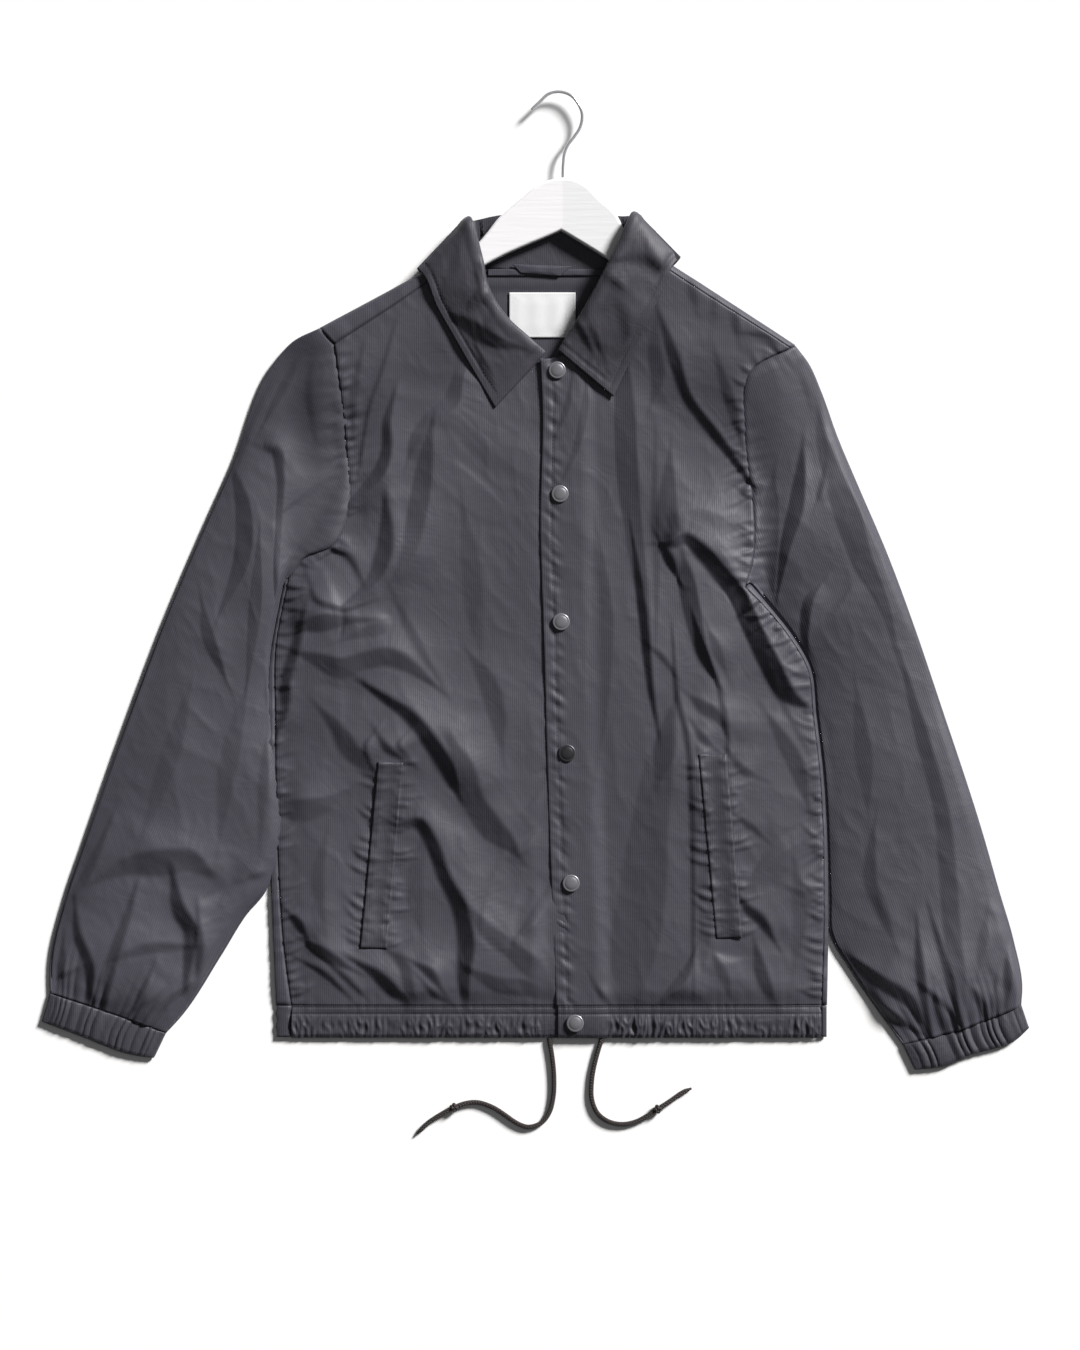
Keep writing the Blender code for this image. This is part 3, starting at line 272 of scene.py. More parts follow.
# Turn is the ribs' direction, in degrees from straight up the picture.
def nylon(name, turn=0.0, **changes):
    look = {**nylonLook, **changes}
    material, tree, shader = startMaterial(name)
    place = placeOn(tree)
    turned = addNode(tree, "ShaderNodeMapping", {"Vector": place, "Rotation": (0, 0, math.radians(turn))})
    wear = addGroup(tree, clothWear, {
        "Place": place, "Color": look["color"], "Fading": look["fading"], "Crumple": look["crumple"]})
    ribsWithShade = addGroup(tree, ribsAndValleyShade, {
        "Place": turned.outputs["Vector"], "Color": wear["Color"], "Rib Pitch": look["ribPitch"],
        "Rib Valley Shade": look["ribContrast"]})
    height = calc(tree, "MULTIPLY_ADD", ribsWithShade["Height"], look["ribHeight"], wear["Height"])
    dress(tree, shader, ribsWithShade["Color"], wear["Roughness"], height, look["bump"])
    shader.inputs["Sheen Weight"].default_value = look["sheen"]
    shader.inputs["Sheen Roughness"].default_value = look["sheenRoughness"]
    shader.inputs["Specular IOR Level"].default_value = look["gloss"]
    return material


threadLook = {
    "color": (0.012, 0.011, 0.014, 1), "paler": 2.0, "twist": 900.0, "bump": 0.0001, "roughness": 0.6,
}


def threadFinish():
    material, tree, shader = startMaterial("sewingThread")
    place = placeOn(tree)
    twist = noiseNode(tree, place, threadLook["twist"])
    pale = shaded(tree, threadLook["color"], threadLook["paler"])
    shade = mixColors(tree, twist, threadLook["color"], pale)
    dress(tree, shader, shade, threadLook["roughness"], twist, threadLook["bump"])
    return material


# The woven label, with painted shade in its thread valleys.
labelLook = {
    "color": (0.82, 0.82, 0.83, 1), "fading": 0.05, "crumple": 0.25, "thread": 0.0006, "threadValleyShade": 0.12,
    "bump": 0.0001, "sheen": 0.1,
}


def labelFinish():
    material, tree, shader = startMaterial("wovenLabel")
    place = placeOn(tree)
    wear = addGroup(tree, clothWear, {
        "Place": place, "Color": labelLook["color"], "Fading": labelLook["fading"],
        "Crumple": labelLook["crumple"]})
    ribsWithShade = addGroup(tree, ribsAndValleyShade, {
        "Place": place, "Color": wear["Color"], "Rib Pitch": labelLook["thread"],
        "Rib Valley Shade": labelLook["threadValleyShade"]})
    dress(tree, shader, ribsWithShade["Color"], wear["Roughness"], ribsWithShade["Height"], labelLook["bump"])
    shader.inputs["Sheen Weight"].default_value = labelLook["sheen"]
    return material


# The snap caps and the hook's wire. Amount is how worn the edges are, dull scales the roughness.
metalLook = {
    "snapMetal": {
        "color": (0.21, 0.21, 0.23, 1), "worn": (0.42, 0.42, 0.45, 1), "amount": 2.2, "dull": 1.0,
        "bump": 0.00012, "metallic": 0.5},
    "snapMetalDark": {
        "color": (0.035, 0.035, 0.04, 1), "worn": (0.30, 0.30, 0.33, 1), "amount": 2.2, "dull": 1.0,
        "bump": 0.00012, "metallic": 0.5},
    "chromeWire": {
        "color": (0.80, 0.81, 0.84, 1), "worn": (0.62, 0.60, 0.58, 1), "amount": 0.6, "dull": 0.45,
        "bump": 0.00006, "metallic": 0.75},
}


def metalFinish(name):
    look = metalLook[name]
    material, tree, shader = startMaterial(name)
    place = placeOn(tree)
    rubbed = addGroup(tree, rubbedEdges, {
        "Place": place, "Color": look["color"], "Worn Color": look["worn"], "Amount": look["amount"]})
    rough = calc(tree, "MULTIPLY", rubbed["Roughness"], look["dull"])
    dress(tree, shader, rubbed["Color"], rough, rubbed["Height"], look["bump"])
    shader.inputs["Metallic"].default_value = look["metallic"]
    return material


cordLook = {
    "color": (0.011, 0.010, 0.012, 1), "fleck": (0.10, 0.045, 0.022, 1), "flecked": 0.8, "plait": 2.6,
    "strands": 4, "bump": 0.0005, "strength": 0.9,
}


# The tube's own map runs once round it, and along it in millimetres.
def cordFinish():
    material, tree, shader = startMaterial("braidedCord")
    plait = addNode(tree, "ShaderNodeUVMap", uv_map="plait").outputs["UV"]
    split = addNode(tree, "ShaderNodeSeparateXYZ", {"Vector": plait})
    around = calc(tree, "MULTIPLY", split.outputs["X"], cordLook["strands"] * 2 * math.pi)
    along = calc(tree, "MULTIPLY", split.outputs["Y"], 2 * math.pi / cordLook["plait"])
    first = calc(tree, "SINE", calc(tree, "ADD", around, along))
    second = calc(tree, "SINE", calc(tree, "SUBTRACT", around, along))
    strands = calc(tree, "MAXIMUM", first, second)
    speck = ranged(tree, noiseNode(tree, None, 420.0, Detail=1.0), From_Min=0.56, From_Max=0.66)
    flecked = calc(tree, "MULTIPLY", speck, cordLook["flecked"])
    shade = mixColors(tree, flecked, cordLook["color"], cordLook["fleck"])
    rough = ranged(tree, strands, From_Min=-1.0, To_Min=0.8, To_Max=0.55)
    dress(tree, shader, shade, rough, strands, cordLook["bump"], cordLook["strength"])
    return material


# White paint over a bent board of two halves; the right half is painted darker, as painted shade of the half
# that turns away from the light. Middle is where they meet, in metres.
woodLook = {
    "color": (0.86, 0.85, 0.87, 1), "shadedHalfColor": (0.80, 0.80, 0.81, 1), "bare": (0.55, 0.42, 0.28, 1),
    "middle": (0.0262, 0.0242), "worn": 0.25, "grain": (18.0, 260.0, 120.0), "bump": 0.00025,
}


def woodFinish():
    material, tree, shader = startMaterial("paintedWood")
    place = placeOn(tree)
    split = addNode(tree, "ShaderNodeSeparateXYZ", {"Vector": place})
    fromX, toX = woodLook["middle"]
    # Painted shade: the half to the right of the middle gets the darker colour.
    litLeftHalf = ranged(tree, split.outputs["X"], From_Min=fromX, From_Max=toX)
    halves = mixColors(tree, litLeftHalf, woodLook["shadedHalfColor"], woodLook["color"])
    rubbed = addGroup(tree, rubbedEdges, {
        "Place": place, "Color": halves, "Worn Color": woodLook["bare"], "Amount": woodLook["worn"]})
    drawn = addNode(tree, "ShaderNodeMapping", {"Vector": place, "Scale": woodLook["grain"]})
    grain = noiseNode(tree, drawn.outputs["Vector"], 1.0, Detail=3.0)
    dress(tree, shader, rubbed["Color"], rubbed["Roughness"], grain, woodLook["bump"])
    return material


finishes = {
    "body": nylon("nylonBody"),
    "back": nylon("nylonBack"),
    "sleeveRight": nylon("nylonSleeveRight", turn=21.0),
    "sleeveLeft": nylon("nylonSleeveLeft", turn=-19.0),
    # Collar, trim and inner cloth get less painted shade in their rib valleys.
    "collar": nylon("nylonCollar", ribContrast=0.22, crumple=0.6, color=(0.044, 0.042, 0.054, 1)),
    "trim": nylon("nylonTrim", ribContrast=0.22, crumple=0.7, color=(0.039, 0.037, 0.049, 1)),
    "inner": nylon("innerCloth", ribContrast=0.12, fading=0.1, gloss=0.35),
    "thread": threadFinish(),
    "label": labelFinish(),
    "snap": metalFinish("snapMetal"),
    "darkSnap": metalFinish("snapMetalDark"),
    "cord": cordFinish(),
    "wood": woodFinish(),
    "chrome": metalFinish("chromeWire"),
}
print("finishes made")


def gridMesh(name, grids, weld=False):
    points = []
    faces = []
    for grid in grids:
        rows, columns = grid.shape[:2]
        first = len(points)
        index = first + np.arange(rows * columns).reshape(rows, columns)
        points.extend(toFrame(grid.reshape(-1, 3)).tolist())
        quads = np.stack([index[:-1, :-1], index[:-1, 1:], index[1:, 1:], index[1:, :-1]], axis=-1)
        faces.extend(quads.reshape(-1, 4).tolist())
    mesh = bpy.data.meshes.new(name)
    mesh.from_pydata(points, [], faces)
    if weld:
        shell = bmesh.new()
        shell.from_mesh(mesh)
        bmesh.ops.remove_doubles(shell, verts=shell.verts, dist=0.00002)
        bmesh.ops.recalc_face_normals(shell, faces=shell.faces)
        shell.to_mesh(mesh)
        shell.free()
    mesh.shade_smooth()
    return mesh


def addPiece(name, data, finish, nodes=(), wall=None):
    piece = bpy.data.objects.new(name, data)
    bpy.context.scene.collection.objects.link(piece)
    piece.data.materials.append(finishes[finish])
    if wall:
        shell = piece.modifiers.new("cloth wall", "SOLIDIFY")
        shell.thickness = wall / 1000
        shell.offset = 0.0
    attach(piece, "root")
    if nodes:
        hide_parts(*nodes)
    return piece


def addCloth(name, grids, finish, nodes, wall, weld=False):
    return addPiece(name, gridMesh(name, grids, weld), finish, nodes, wall)


# A round tube with a radius for each point of its route, and a map for the plait.
def tubeMesh(name, route, radii, sides=18):
    spots = np.array(route, float)
    tangents = np.gradient(spots, axis=0)
    tangents /= np.linalg.norm(tangents, axis=1)[:, None]
    reached = np.concatenate([[0.0], np.cumsum(np.linalg.norm(np.diff(spots, axis=0), axis=1))])
    side = np.cross(tangents[0], (0.0, 0.0, 1.0))
    if np.linalg.norm(side) < 0.1:
        side = np.cross(tangents[0], (0.0, 1.0, 0.0))
    points = []
    faces = []
    for k, (spot, tangent) in enumerate(zip(spots, tangents)):
        side = side - tangent * side.dot(tangent)
        side = side / np.linalg.norm(side)
        up = np.cross(side, tangent)
        for i in range(sides):
            turn = 2 * math.pi * i / sides
            points.append(spot + radii[k] * (side * math.cos(turn) + up * math.sin(turn)))
    for k in range(len(spots) - 1):
        for i in range(sides):
            near = (i + 1) % sides
            faces.append((k * sides + i, k * sides + near, (k + 1) * sides + near, (k + 1) * sides + i))
    faces.append(tuple(range(sides - 1, -1, -1)))
    faces.append(tuple(range((len(spots) - 1) * sides, len(spots) * sides)))
    mesh = bpy.data.meshes.new(name)
    mesh.from_pydata(toFrame(points).tolist(), [], faces)
    layer = mesh.uv_layers.new(name="plait")
    for polygon in mesh.polygons:
        for loop in polygon.loop_indices:
            corner = mesh.loops[loop].vertex_index
            ring, spoke = divmod(corner, sides)
            share = spoke / sides
            if spoke == 0 and len(polygon.vertices) == 4 and polygon.index % sides == sides - 1:
                share = 1.0
            layer.data[loop].uv = (share, reached[ring])
    mesh.shade_smooth()
    return mesh


cordSet = {
    "diameter": 4.4, "points": 30, "tip": 7.0, "tipWidth": 0.45,
    "knotStrand": 1.9, "knotReach": 2.5, "knotHalf": 3.1, "knotTurns": 1.75,
    "right": [
        (-2.8, -1, 2.3), (0, -17, 2.3), (1.9, -38, 2.3), (0.9, -57.5, 2.3), (-2.8, -70.5, 2.3),
        (-10.5, -80, 2.3), (-23, -83.5, 2.3), (-36, -78, 2.3), (-46.5, -70.5, 2.3), (-58, -64, 2.3),
        (-71, -60.5, 2.3), (-81, -61.5, 3.2), (-91, -65, 4.4), (-104, -72, 3.2), (-117, -81, 2.3),
        (-125.5, -90, 2.3),
    ],
    "left": [
        (46.5, -1, 2.3), (41, -19.5, 2.3), (37, -41, 2.3), (37.5, -59.5, 2.3), (43, -71.5, 2.3),
        (54, -79, 2.3), (66, -81, 2.3), (77, -79, 2.3), (88, -73.5, 3.2), (98.5, -66.5, 4.4),
        (110.5, -59, 3.2), (121.5, -51.5, 2.3), (130, -47.5, 2.3),
    ],
    "knotPoint": {"right": 12, "left": 9},
}


def addCord(side):
    coarse = smoothRoute(cordSet[side], cordSet["points"])
    route = smoothRoute(coarse, 150)
    fromEnd = np.linalg.norm(np.diff(route, axis=0), axis=1).sum() * np.linspace(1, 0, len(route))
    tipWidth = cordSet["tipWidth"]
    radii = cordSet["diameter"] / 2 * (tipWidth + (1 - tipWidth) * smoothStep(fromEnd, 0, cordSet["tip"]))
    piece = addPiece(
        f"drawcord{side.capitalize()}", tubeMesh("drawcord", route, radii), "cord",
        [f"drawcord_{side}"],
    )
    spot = np.array(cordSet[side][cordSet["knotPoint"][side]], float)
    nearest = int(np.argmin(np.linalg.norm(route - spot, axis=1)))
    along = route[nearest + 2] - route[nearest - 2]
    along = along / np.linalg.norm(along)
    over = np.cross((0.0, 0.0, 1.0), along)
    over = over / np.linalg.norm(over)
    up = np.cross(along, over)
    strand = []
    for share in np.linspace(0, 1, 60):
        turn = share * 2 * math.pi * cordSet["knotTurns"] - 0.6
        step = cordSet["knotHalf"] * (2 * share - 1) * (1 - 0.35 * math.sin(math.pi * share))
        reach = cordSet["knotReach"] * (0.75 + 0.25 * math.sin(math.pi * share))
        out = over * math.cos(turn) + up * math.sin(turn)
        strand.append(route[nearest] + along * step + reach * out)
    radii = cordSet["knotStrand"] * np.sin(np.linspace(0.35, math.pi - 0.35, 60)) ** 0.4
    knot = addPiece(
        f"cordKnot{side.capitalize()}", tubeMesh("cordKnot", strand, radii, 14), "cord",
        [f"cord_knot_{side}"],
    )
    path = toFrame(coarse)


addCord("right")
addCord("left")


# Outlines and seams of the body, from the hem up.
seams = {
    "sideOutlineRight": [(-257, 30), (-261.5, 138), (-261.5, 361), (-249, 426)],
    "sideRight": [(-243, 30), (-250, 82), (-256, 175), (-258, 296), (-258, 361), (-246, 427)],
    "armholeRight": [(-246, 427), (-234, 445), (-206, 458), (-192.5, 491), (-192.5, 556), (-202, 644)],
    "shoulderOutlineRight": [(-216, 660), (-122, 711), (-77, 737)],
    "shoulderRight": [(-202, 644), (-114, 704), (-80, 732)],
    "sideOutlineLeft": [
        (256, 30), (257, 130), (252, 249), (246, 300), (240, 345), (225, 372), (203, 400), (183.5, 423)],
    "sideLeft": [
        (251, 30), (253, 130), (249, 249), (243, 300), (237.3, 344), (222.3, 370), (200, 398), (179, 419)],
    "armholeLeft": [(179, 419), (186, 444), (187, 500), (180, 556), (186, 621), (221, 641)],
    "shoulderOutlineLeft": [(226, 644), (115, 716), (77, 740)],
    "shoulderLeft": [(221, 641), (112, 711), (80, 733)],
    "necklineRight": [(-80, 732), (-77, 718), (-67, 690), (-49, 663), (-11, 633), (22, 629)],
    "necklineLeft": [(-10, 631), (6, 634), (32, 660), (62, 703), (73, 722), (80, 733)],
    "backNeckline": [(-77, 737), (-63, 716), (-30, 712), (30, 712), (62, 716), (77, 740)],
    "liftLine": [
        (-216, 640), (-158, 672), (-121, 693), (-80, 703), (-45, 702.5), (45, 702.5), (80, 707),
        (115, 700), (158, 674), (226, 628)],
    "frontEdge": [(5, 30), (1, 128), (-5, 309), (-6, 351), (-10, 480), (-8, 593), (-10, 631)],
    "underEdge": [(38, 30), (34, 128), (28, 309), (23, 480), (22, 629)],
    "collarEdgeRight": [(-53, 586), (-63, 603), (-76, 625), (-91, 651), (-106, 677), (-125, 714)],
    "collarEdgeLeft": [(57, 596), (65, 613), (75, 635), (91, 670), (104, 697), (119, 725)],
}

# Creases of the two fronts. Each is a strip of cloth that falls away from the light: how steep it
# is, and the line along its middle as (x, y, half its width). Below zero it falls the other way.
rightFrontCreases = [
    (0.50, [(-148, 655, 1), (-160, 615, 2), (-169, 590, 2), (-179, 536, 1)]),
    (0.30, [(-176, 640, 1), (-184, 600, 4), (-186, 560, 1)]),
    (0.58, [(-148, 596, 2), (-154, 573, 4), (-154, 548, 5), (-160, 528, 6), (-173, 512, 5), (-194, 493, 1)]),
    (0.32, [(-88, 612, 5), (-94, 593, 8), (-110, 578, 8), (-128, 555, 5), (-134, 538, 1)]),
    (0.30, [(-112, 570, 2), (-119, 528, 8), (-126, 485, 9), (-133, 453, 7), (-150, 424, 1)]),
    (0.52, [(-155, 498, 3), (-154, 476, 6), (-157, 449, 8), (-167, 426, 6), (-191, 404, 1)]),
    (0.50, [(-212, 448, 1), (-200, 454, 3), (-189, 447, 3), (-179, 429, 1)]),
    (0.55, [(-225, 421, 1), (-220, 408, 2.5), (-206, 401, 3), (-191, 398, 2.5), (-176, 403, 1)]),
    (0.45, [(-231, 383, 5), (-214, 386, 9), (-195, 388, 5), (-166, 389, 1)]),
    (0.26, [(-200, 368, 1), (-178, 376, 4), (-154, 385, 6), (-150, 392, 1)]),
    (0.58, [(-232, 392, 2), (-241, 356, 5), (-247, 336, 5), (-250, 302, 4), (-258, 278, 1)]),
    (0.36, [(-236, 358, 2), (-216, 351, 7), (-198, 344, 10), (-173, 351, 8), (-153, 354, 9), (-132, 345, 6),
            (-106, 325, 1)]),
    (0.20, [(-151, 420, 1), (-132, 379, 4), (-105, 332, 1)]),
    (0.62, [(-171, 327, 2), (-155, 316, 4), (-132, 299, 6), (-114, 277, 7), (-98, 252, 7), (-88, 228, 2)]),
    (0.30, [(-94, 276, 4), (-82, 250, 10), (-72, 219, 10), (-56, 195, 12), (-38, 178, 6), (-30, 168, 1)]),
    (0.30, [(-42, 166, 1), (-30, 178, 5), (-12, 196, 1)]),
    (0.30, [(-218, 308, 1), (-202, 290, 6), (-188, 268, 9), (-170, 250, 5)]),
    (0.55, [(-166, 284, 1), (-174, 271, 2.5), (-169, 256, 1)]),
    (0.50, [(-162, 282, 1), (-154, 270, 4), (-138, 259, 1)]),
    (0.55, [(-134, 284, 1), (-143, 273, 2), (-134, 261, 1)]),
    (0.24, [(-256, 216, 3), (-234, 212, 12), (-214, 216, 8), (-187, 232, 1)]),
    (0.58, [(-160, 206, 1), (-143, 197, 3), (-124, 200, 5), (-113, 184, 6), (-100, 150, 6), (-86, 122, 7),
            (-80, 90, 8), (-82, 55, 6), (-80, 31, 3)]),
    (0.26, [(-78, 122, 2), (-60, 100, 7), (-40, 84, 8), (-16, 62, 9), (-4, 46, 4)]),
    (0.40, [(-30, 98, 1), (-18, 112, 5), (-3, 140, 2)]),
    (0.18, [(-78, 358, 1), (-62, 334, 8), (-51, 300, 8), (-46, 264, 1)]),
    (0.13, [(-84, 500, 1), (-76, 440, 9), (-72, 395, 8), (-66, 360, 1)]),
    (0.22, [(-31, 205, 1), (-18, 220, 3), (-4, 240, 1)]),
    (0.58, [(-247, 118, 1), (-236, 107, 4), (-227, 91, 1)]),
    (0.55, [(-230, 90, 1), (-218, 83, 5), (-204, 74, 5), (-184, 63, 1)]),
    (0.55, [(-236, 73, 1), (-212, 60, 3), (-188, 37, 1)]),
    (0.50, [(-211, 73, 1), (-190, 54, 3), (-175, 39, 1)]),
    (0.62, [(-182, 71, 2), (-164, 60, 5), (-150, 47, 6), (-137, 34, 3)]),
    (0.36, [(-154, 83, 1), (-138, 68, 5), (-133, 44, 5)]),
    (0.60, [(-129, 71, 1), (-115, 62, 4.5), (-101, 43, 1)]),
    (0.50, [(-121, 54, 1), (-109, 40, 3), (-92, 31, 1)]),
    (0.30, [(-74, 62, 3), (-50, 50, 7), (-24, 46, 8), (-6, 38, 4)]),
    (0.16, [(-210, 190, 1), (-218, 150, 6), (-212, 104, 1)]),
    (0.12, [(-120, 190, 1), (-128, 140, 8), (-120, 90, 1)]),
]
leftFrontCreases = [
    (0.40, [(32, 612, 1), (31, 593, 3), (22, 548, 3), (9, 518, 1)]),
    (0.40, [(18, 612, 1), (14, 588, 3), (3, 560, 1)]),
    (0.24, [(64, 640, 5), (67, 593, 9), (70, 525, 10), (79, 449, 7), (86, 390, 5), (91, 334, 3),
            (98, 290, 1)]),
    (0.45, [(74, 470, 1), (80, 430, 3), (86, 380, 4), (91, 330, 3), (98, 289, 1)]),
    (0.20, [(96, 560, 1), (95, 500, 3), (97, 430, 3), (96, 372, 1)]),
    (0.24, [(110, 548, 1), (108, 519, 6), (107, 481, 10), (110, 454, 8), (116, 430, 1)]),
    (0.60, [(100, 462, 1), (107, 449, 4), (116, 430, 1)]),
    (0.16, [(108, 480, 5), (132, 478, 14), (156, 466, 17), (184, 448, 10)]),
    (0.66, [(103, 459, 1), (112, 459, 4), (122, 464, 4.5), (135, 456, 6), (153, 436, 7), (171, 413, 8),
            (187, 379, 8.5), (203, 347, 9), (221, 318, 7), (240, 307, 1)]),
    (0.30, [(145, 452, 1), (156, 444, 4), (169, 427, 2)]),
    (0.40, [(121, 448, 2), (124, 430, 7), (129, 402, 8), (137, 368, 6), (153, 332, 1)]),
    (0.60, [(133, 386, 1), (140, 362, 3), (154, 331, 1)]),
    (0.26, [(145, 380, 1), (153, 360, 5), (161, 341, 1)]),
    (0.58, [(98, 676, 1), (112, 635, 5), (126, 596, 4), (153, 560, 4), (184, 518, 2)]),
    (0.30, [(150, 640, 1), (164, 594, 5), (178, 548, 1)]),
    (0.24, [(97, 670, 1), (95, 640, 6), (98, 611, 6), (92, 590, 1)]),
    (0.40, [(126, 704, 1), (131, 690, 4), (134, 678, 1)]),
    (0.35, [(148, 698, 1), (150, 684, 3), (149, 668, 1)]),
    (0.40, [(166, 680, 1), (170, 664, 4), (172, 650, 1)]),
    (0.45, [(182, 654, 1), (203, 651, 3), (213, 643, 1)]),
    (-0.30, [(185, 619, 1), (203, 626, 3), (214, 634, 1)]),
    (0.30, [(91, 364, 1), (104, 352, 3), (113, 340, 1)]),
    (0.22, [(114, 312, 2), (108, 290, 8), (104, 262, 10), (98, 240, 3)]),
    (0.16, [(110, 300, 3), (98, 245, 14), (91, 197, 17), (84, 138, 22), (75, 80, 22), (70, 40, 12)]),
    (0.36, [(128, 318, 1), (140, 308, 6), (156, 296, 4), (161, 286, 1)]),
    (0.42, [(155, 324, 1), (160, 300, 3), (164, 268, 1)]),
    (0.40, [(133, 289, 1), (139, 280, 4), (149, 271, 1)]),
    (0.34, [(166, 262, 1), (176, 250, 4), (190, 243, 1)]),
    (0.34, [(172, 206, 1), (184, 197, 3), (197, 186, 1)]),
    (0.50, [(112, 372, 1), (117, 312, 2.5), (124, 285, 2.5), (129, 233, 2.5), (131, 138, 2), (131, 44, 1)]),
    (0.20, [(131, 255, 1), (138, 220, 6), (141, 160, 7), (142, 100, 6), (140, 60, 1)]),
    (0.58, [(130, 76, 1), (122, 58, 5), (104, 39, 2)]),
    (0.50, [(40, 50, 1), (47, 38, 3), (56, 29, 1)]),
    (0.52, [(174, 132, 1), (180, 122, 4), (193, 111, 5), (208, 88, 1)]),
    (0.36, [(188, 90, 1), (194, 62, 6), (207, 30, 3)]),
    (0.26, [(200, 302, 1), (214, 278, 6), (226, 256, 8), (237, 220, 2)]),
    (-0.26, [(247, 201, 4), (225, 187, 6), (202, 171, 5), (186, 152, 1)]),
    (0.20, [(250, 122, 2), (235, 132, 4), (218, 140, 1)]),
    (0.20, [(204, 330, 1), (220, 300, 3), (236, 270, 1)]),
    (0.14, [(40, 480, 1), (46, 400, 10), (42, 300, 9), (36, 220, 1)]),
    (0.16, [(224, 172, 1), (230, 115, 7), (224, 60, 1)]),
    (0.22, [(150, 78, 1), (158, 60, 5), (166, 38, 2)]),
    (-0.25, [(150, 80, 1), (160, 74, 4), (176, 74, 1)]),
]

weltEdges = {
    "Right": [[(-178.5, 84), (-162, 257)], [(-153.5, 83), (-138.5, 256)]],
    "Left": [[(152.5, 93), (136, 264)], [(176.5, 93), (162, 264)]],
}

# The two fronts, in millimetres. The arm values are the rise over the hanger's wood.
frontSet = {
    "cloth": 0.6, "rest": 3.0, "puff": 2.4, "puffIn": 45.0, "lowest": 2.0,
    "armRise": 10.8, "armCover": 46.0, "armSlope": 96.0, "armEnd": 207.0,
    "placketLift": 2.6, "placketTurn": 0.9, "placketStitch": 9.3, "placketPucker": 1.15,
    "facing": (30.0, 12.0),
    "columns": 132, "shoulderShare": 0.45, "sideRows": 208, "armholeRows": 130,
    "crumple": 0.22, "crumpleSize": 34.0, "swell": 2.4, "swellSize": 95.0,
    "seamDip": 0.5, "seamPucker": 1.6, "seamPeriod": 11.0, "hemPucker": 0.35,
}
hemSet = {
    "height": 30.0, "gathers": 23, "ripple": 2.9, "cloth": 0.6, "rows": 34, "columns": 300,
    "stitchUpper": 1.6, "stitchLower": 8.0, "stitchDip": 0.7, "swell": 1.1, "edgeDown": 1.7, "edgeTurn": 1.2,
    "fronts": {"Right": (-242.7, 38.0), "Left": (5.5, 250.7)},
    "stitched": {"Right": (-241, 4), "Left": (8, 249)},
    "backEnds": {"Right": -256.5, "Left": 255.6}, "turnIn": {"Right": 13.4, "Left": 4.6}, "backColumns": 140,
}


# Distance from a route, above zero on its left, then how far along it the nearest point lies,
# and the route's length.
def fromRoute(x, y, route):
    best = np.full(x.shape, 1e9)
    signed = np.zeros(x.shape)
    along = np.zeros(x.shape)
    reached = 0.0
    for start, end in zip(route[:-1], route[1:]):
        runX, runY = end[0] - start[0], end[1] - start[1]
        length = math.hypot(runX, runY)
        share = np.clip(((x - start[0]) * runX + (y - start[1]) * runY) / length**2, 0, 1)
        offX, offY = x - start[0] - share * runX, y - start[1] - share * runY
        distance = np.hypot(offX, offY)
        closer = distance < best
        best = np.where(closer, distance, best)
        signed = np.where(closer, np.where(runX * offY - runY * offX >= 0, distance, -distance), signed)
        along = np.where(closer, reached + share * length, along)
        reached += length
    return signed, along, reached


# How a crease ends: reach is how far the rise runs out on its high side, beyond past its ends.
creaseSet = {"step": 4.0, "reach": 12.0, "reachShare": 5.5, "beyond": 12.0, "fewest": 12}
puckerSet = {"step": 3.0, "reach": 3.0, "reachShare": 0.6, "beyond": 3.0, "fewest": 5}
towardLight = (0.72, 0.69)


def creaseField(x, y, rows, fold=creaseSet):
    total = np.zeros(x.shape)
    for slope, points in rows:
        rough = np.linalg.norm(np.diff(np.array(points, float)[:, :2], axis=0), axis=1).sum()
        route = smoothRoute(points, int(min(max(rough / fold["step"], fold["fewest"]), 60)))
        reach = fold["reach"] + fold["reachShare"] * route[:, 2].max()
        low, high = route.min(axis=0) - 5 * reach, route.max(axis=0) + 5 * reach
        near = (x > low[0]) & (x < high[0]) & (y > low[1]) & (y < high[1])
        if not near.any():
            continue
        run = np.gradient(route[:, :2], axis=0)
        step = np.linalg.norm(run, axis=1).mean()
        run /= np.linalg.norm(run, axis=1)[:, None]
        chord = route[-1, :2] - route[0, :2]
        towards = chord[0] * towardLight[1] - chord[1] * towardLight[0]
        offX, offY = x[near][:, None] - route[:, 0], y[near][:, None] - route[:, 1]
        squared = offX**2 + offY**2 + 0.2 * step**2
        weight = squared**-3.0
        weight /= weight.sum(axis=1)[:, None]
        across = (weight * (run[:, 0] * offY - run[:, 1] * offX)).sum(axis=1)
        across = across * math.copysign(1.0, towards * slope)
        half = (weight * route[:, 2]).sum(axis=1)
        beyond = np.sqrt(np.maximum(squared.min(axis=1) - across**2 - 0.5 * step**2, 0.0))
        rise = abs(slope) * half * (np.clip(across / half, -1, 1) + 1)
        past = np.maximum(across - half, 0.0)
        fade = past / (fold["reach"] + fold["reachShare"] * half)
        total[near] += rise * np.exp(-fade - (beyond / fold["beyond"]) ** 2)
    return total


# The short creases along a seam or a welt: gap between them, length and steepness, and how far
# each may differ from that.
puckerLines = {
    "side": {"gap": 12.0, "length": 17.0, "slope": 0.62},
    "armhole": {"gap": 12.0, "length": 12.0, "slope": 0.48},
    "weltInside": {"gap": 11.0, "length": 14.0, "slope": 0.58},
    "weltOutside": {"gap": 17.0, "length": 10.0, "slope": 0.50},
    "gapShares": (0.55, 0.8, 1.1, 1.9), "lengthShares": (0.45, 1.3), "slopeShares": (0.6, 1.25),
    "lean": (-0.2, 0.7), "half": (1.1, 2.2), "off": 0.8,
}
frontPuckers = {}  # one list for each side, made when it is first asked for


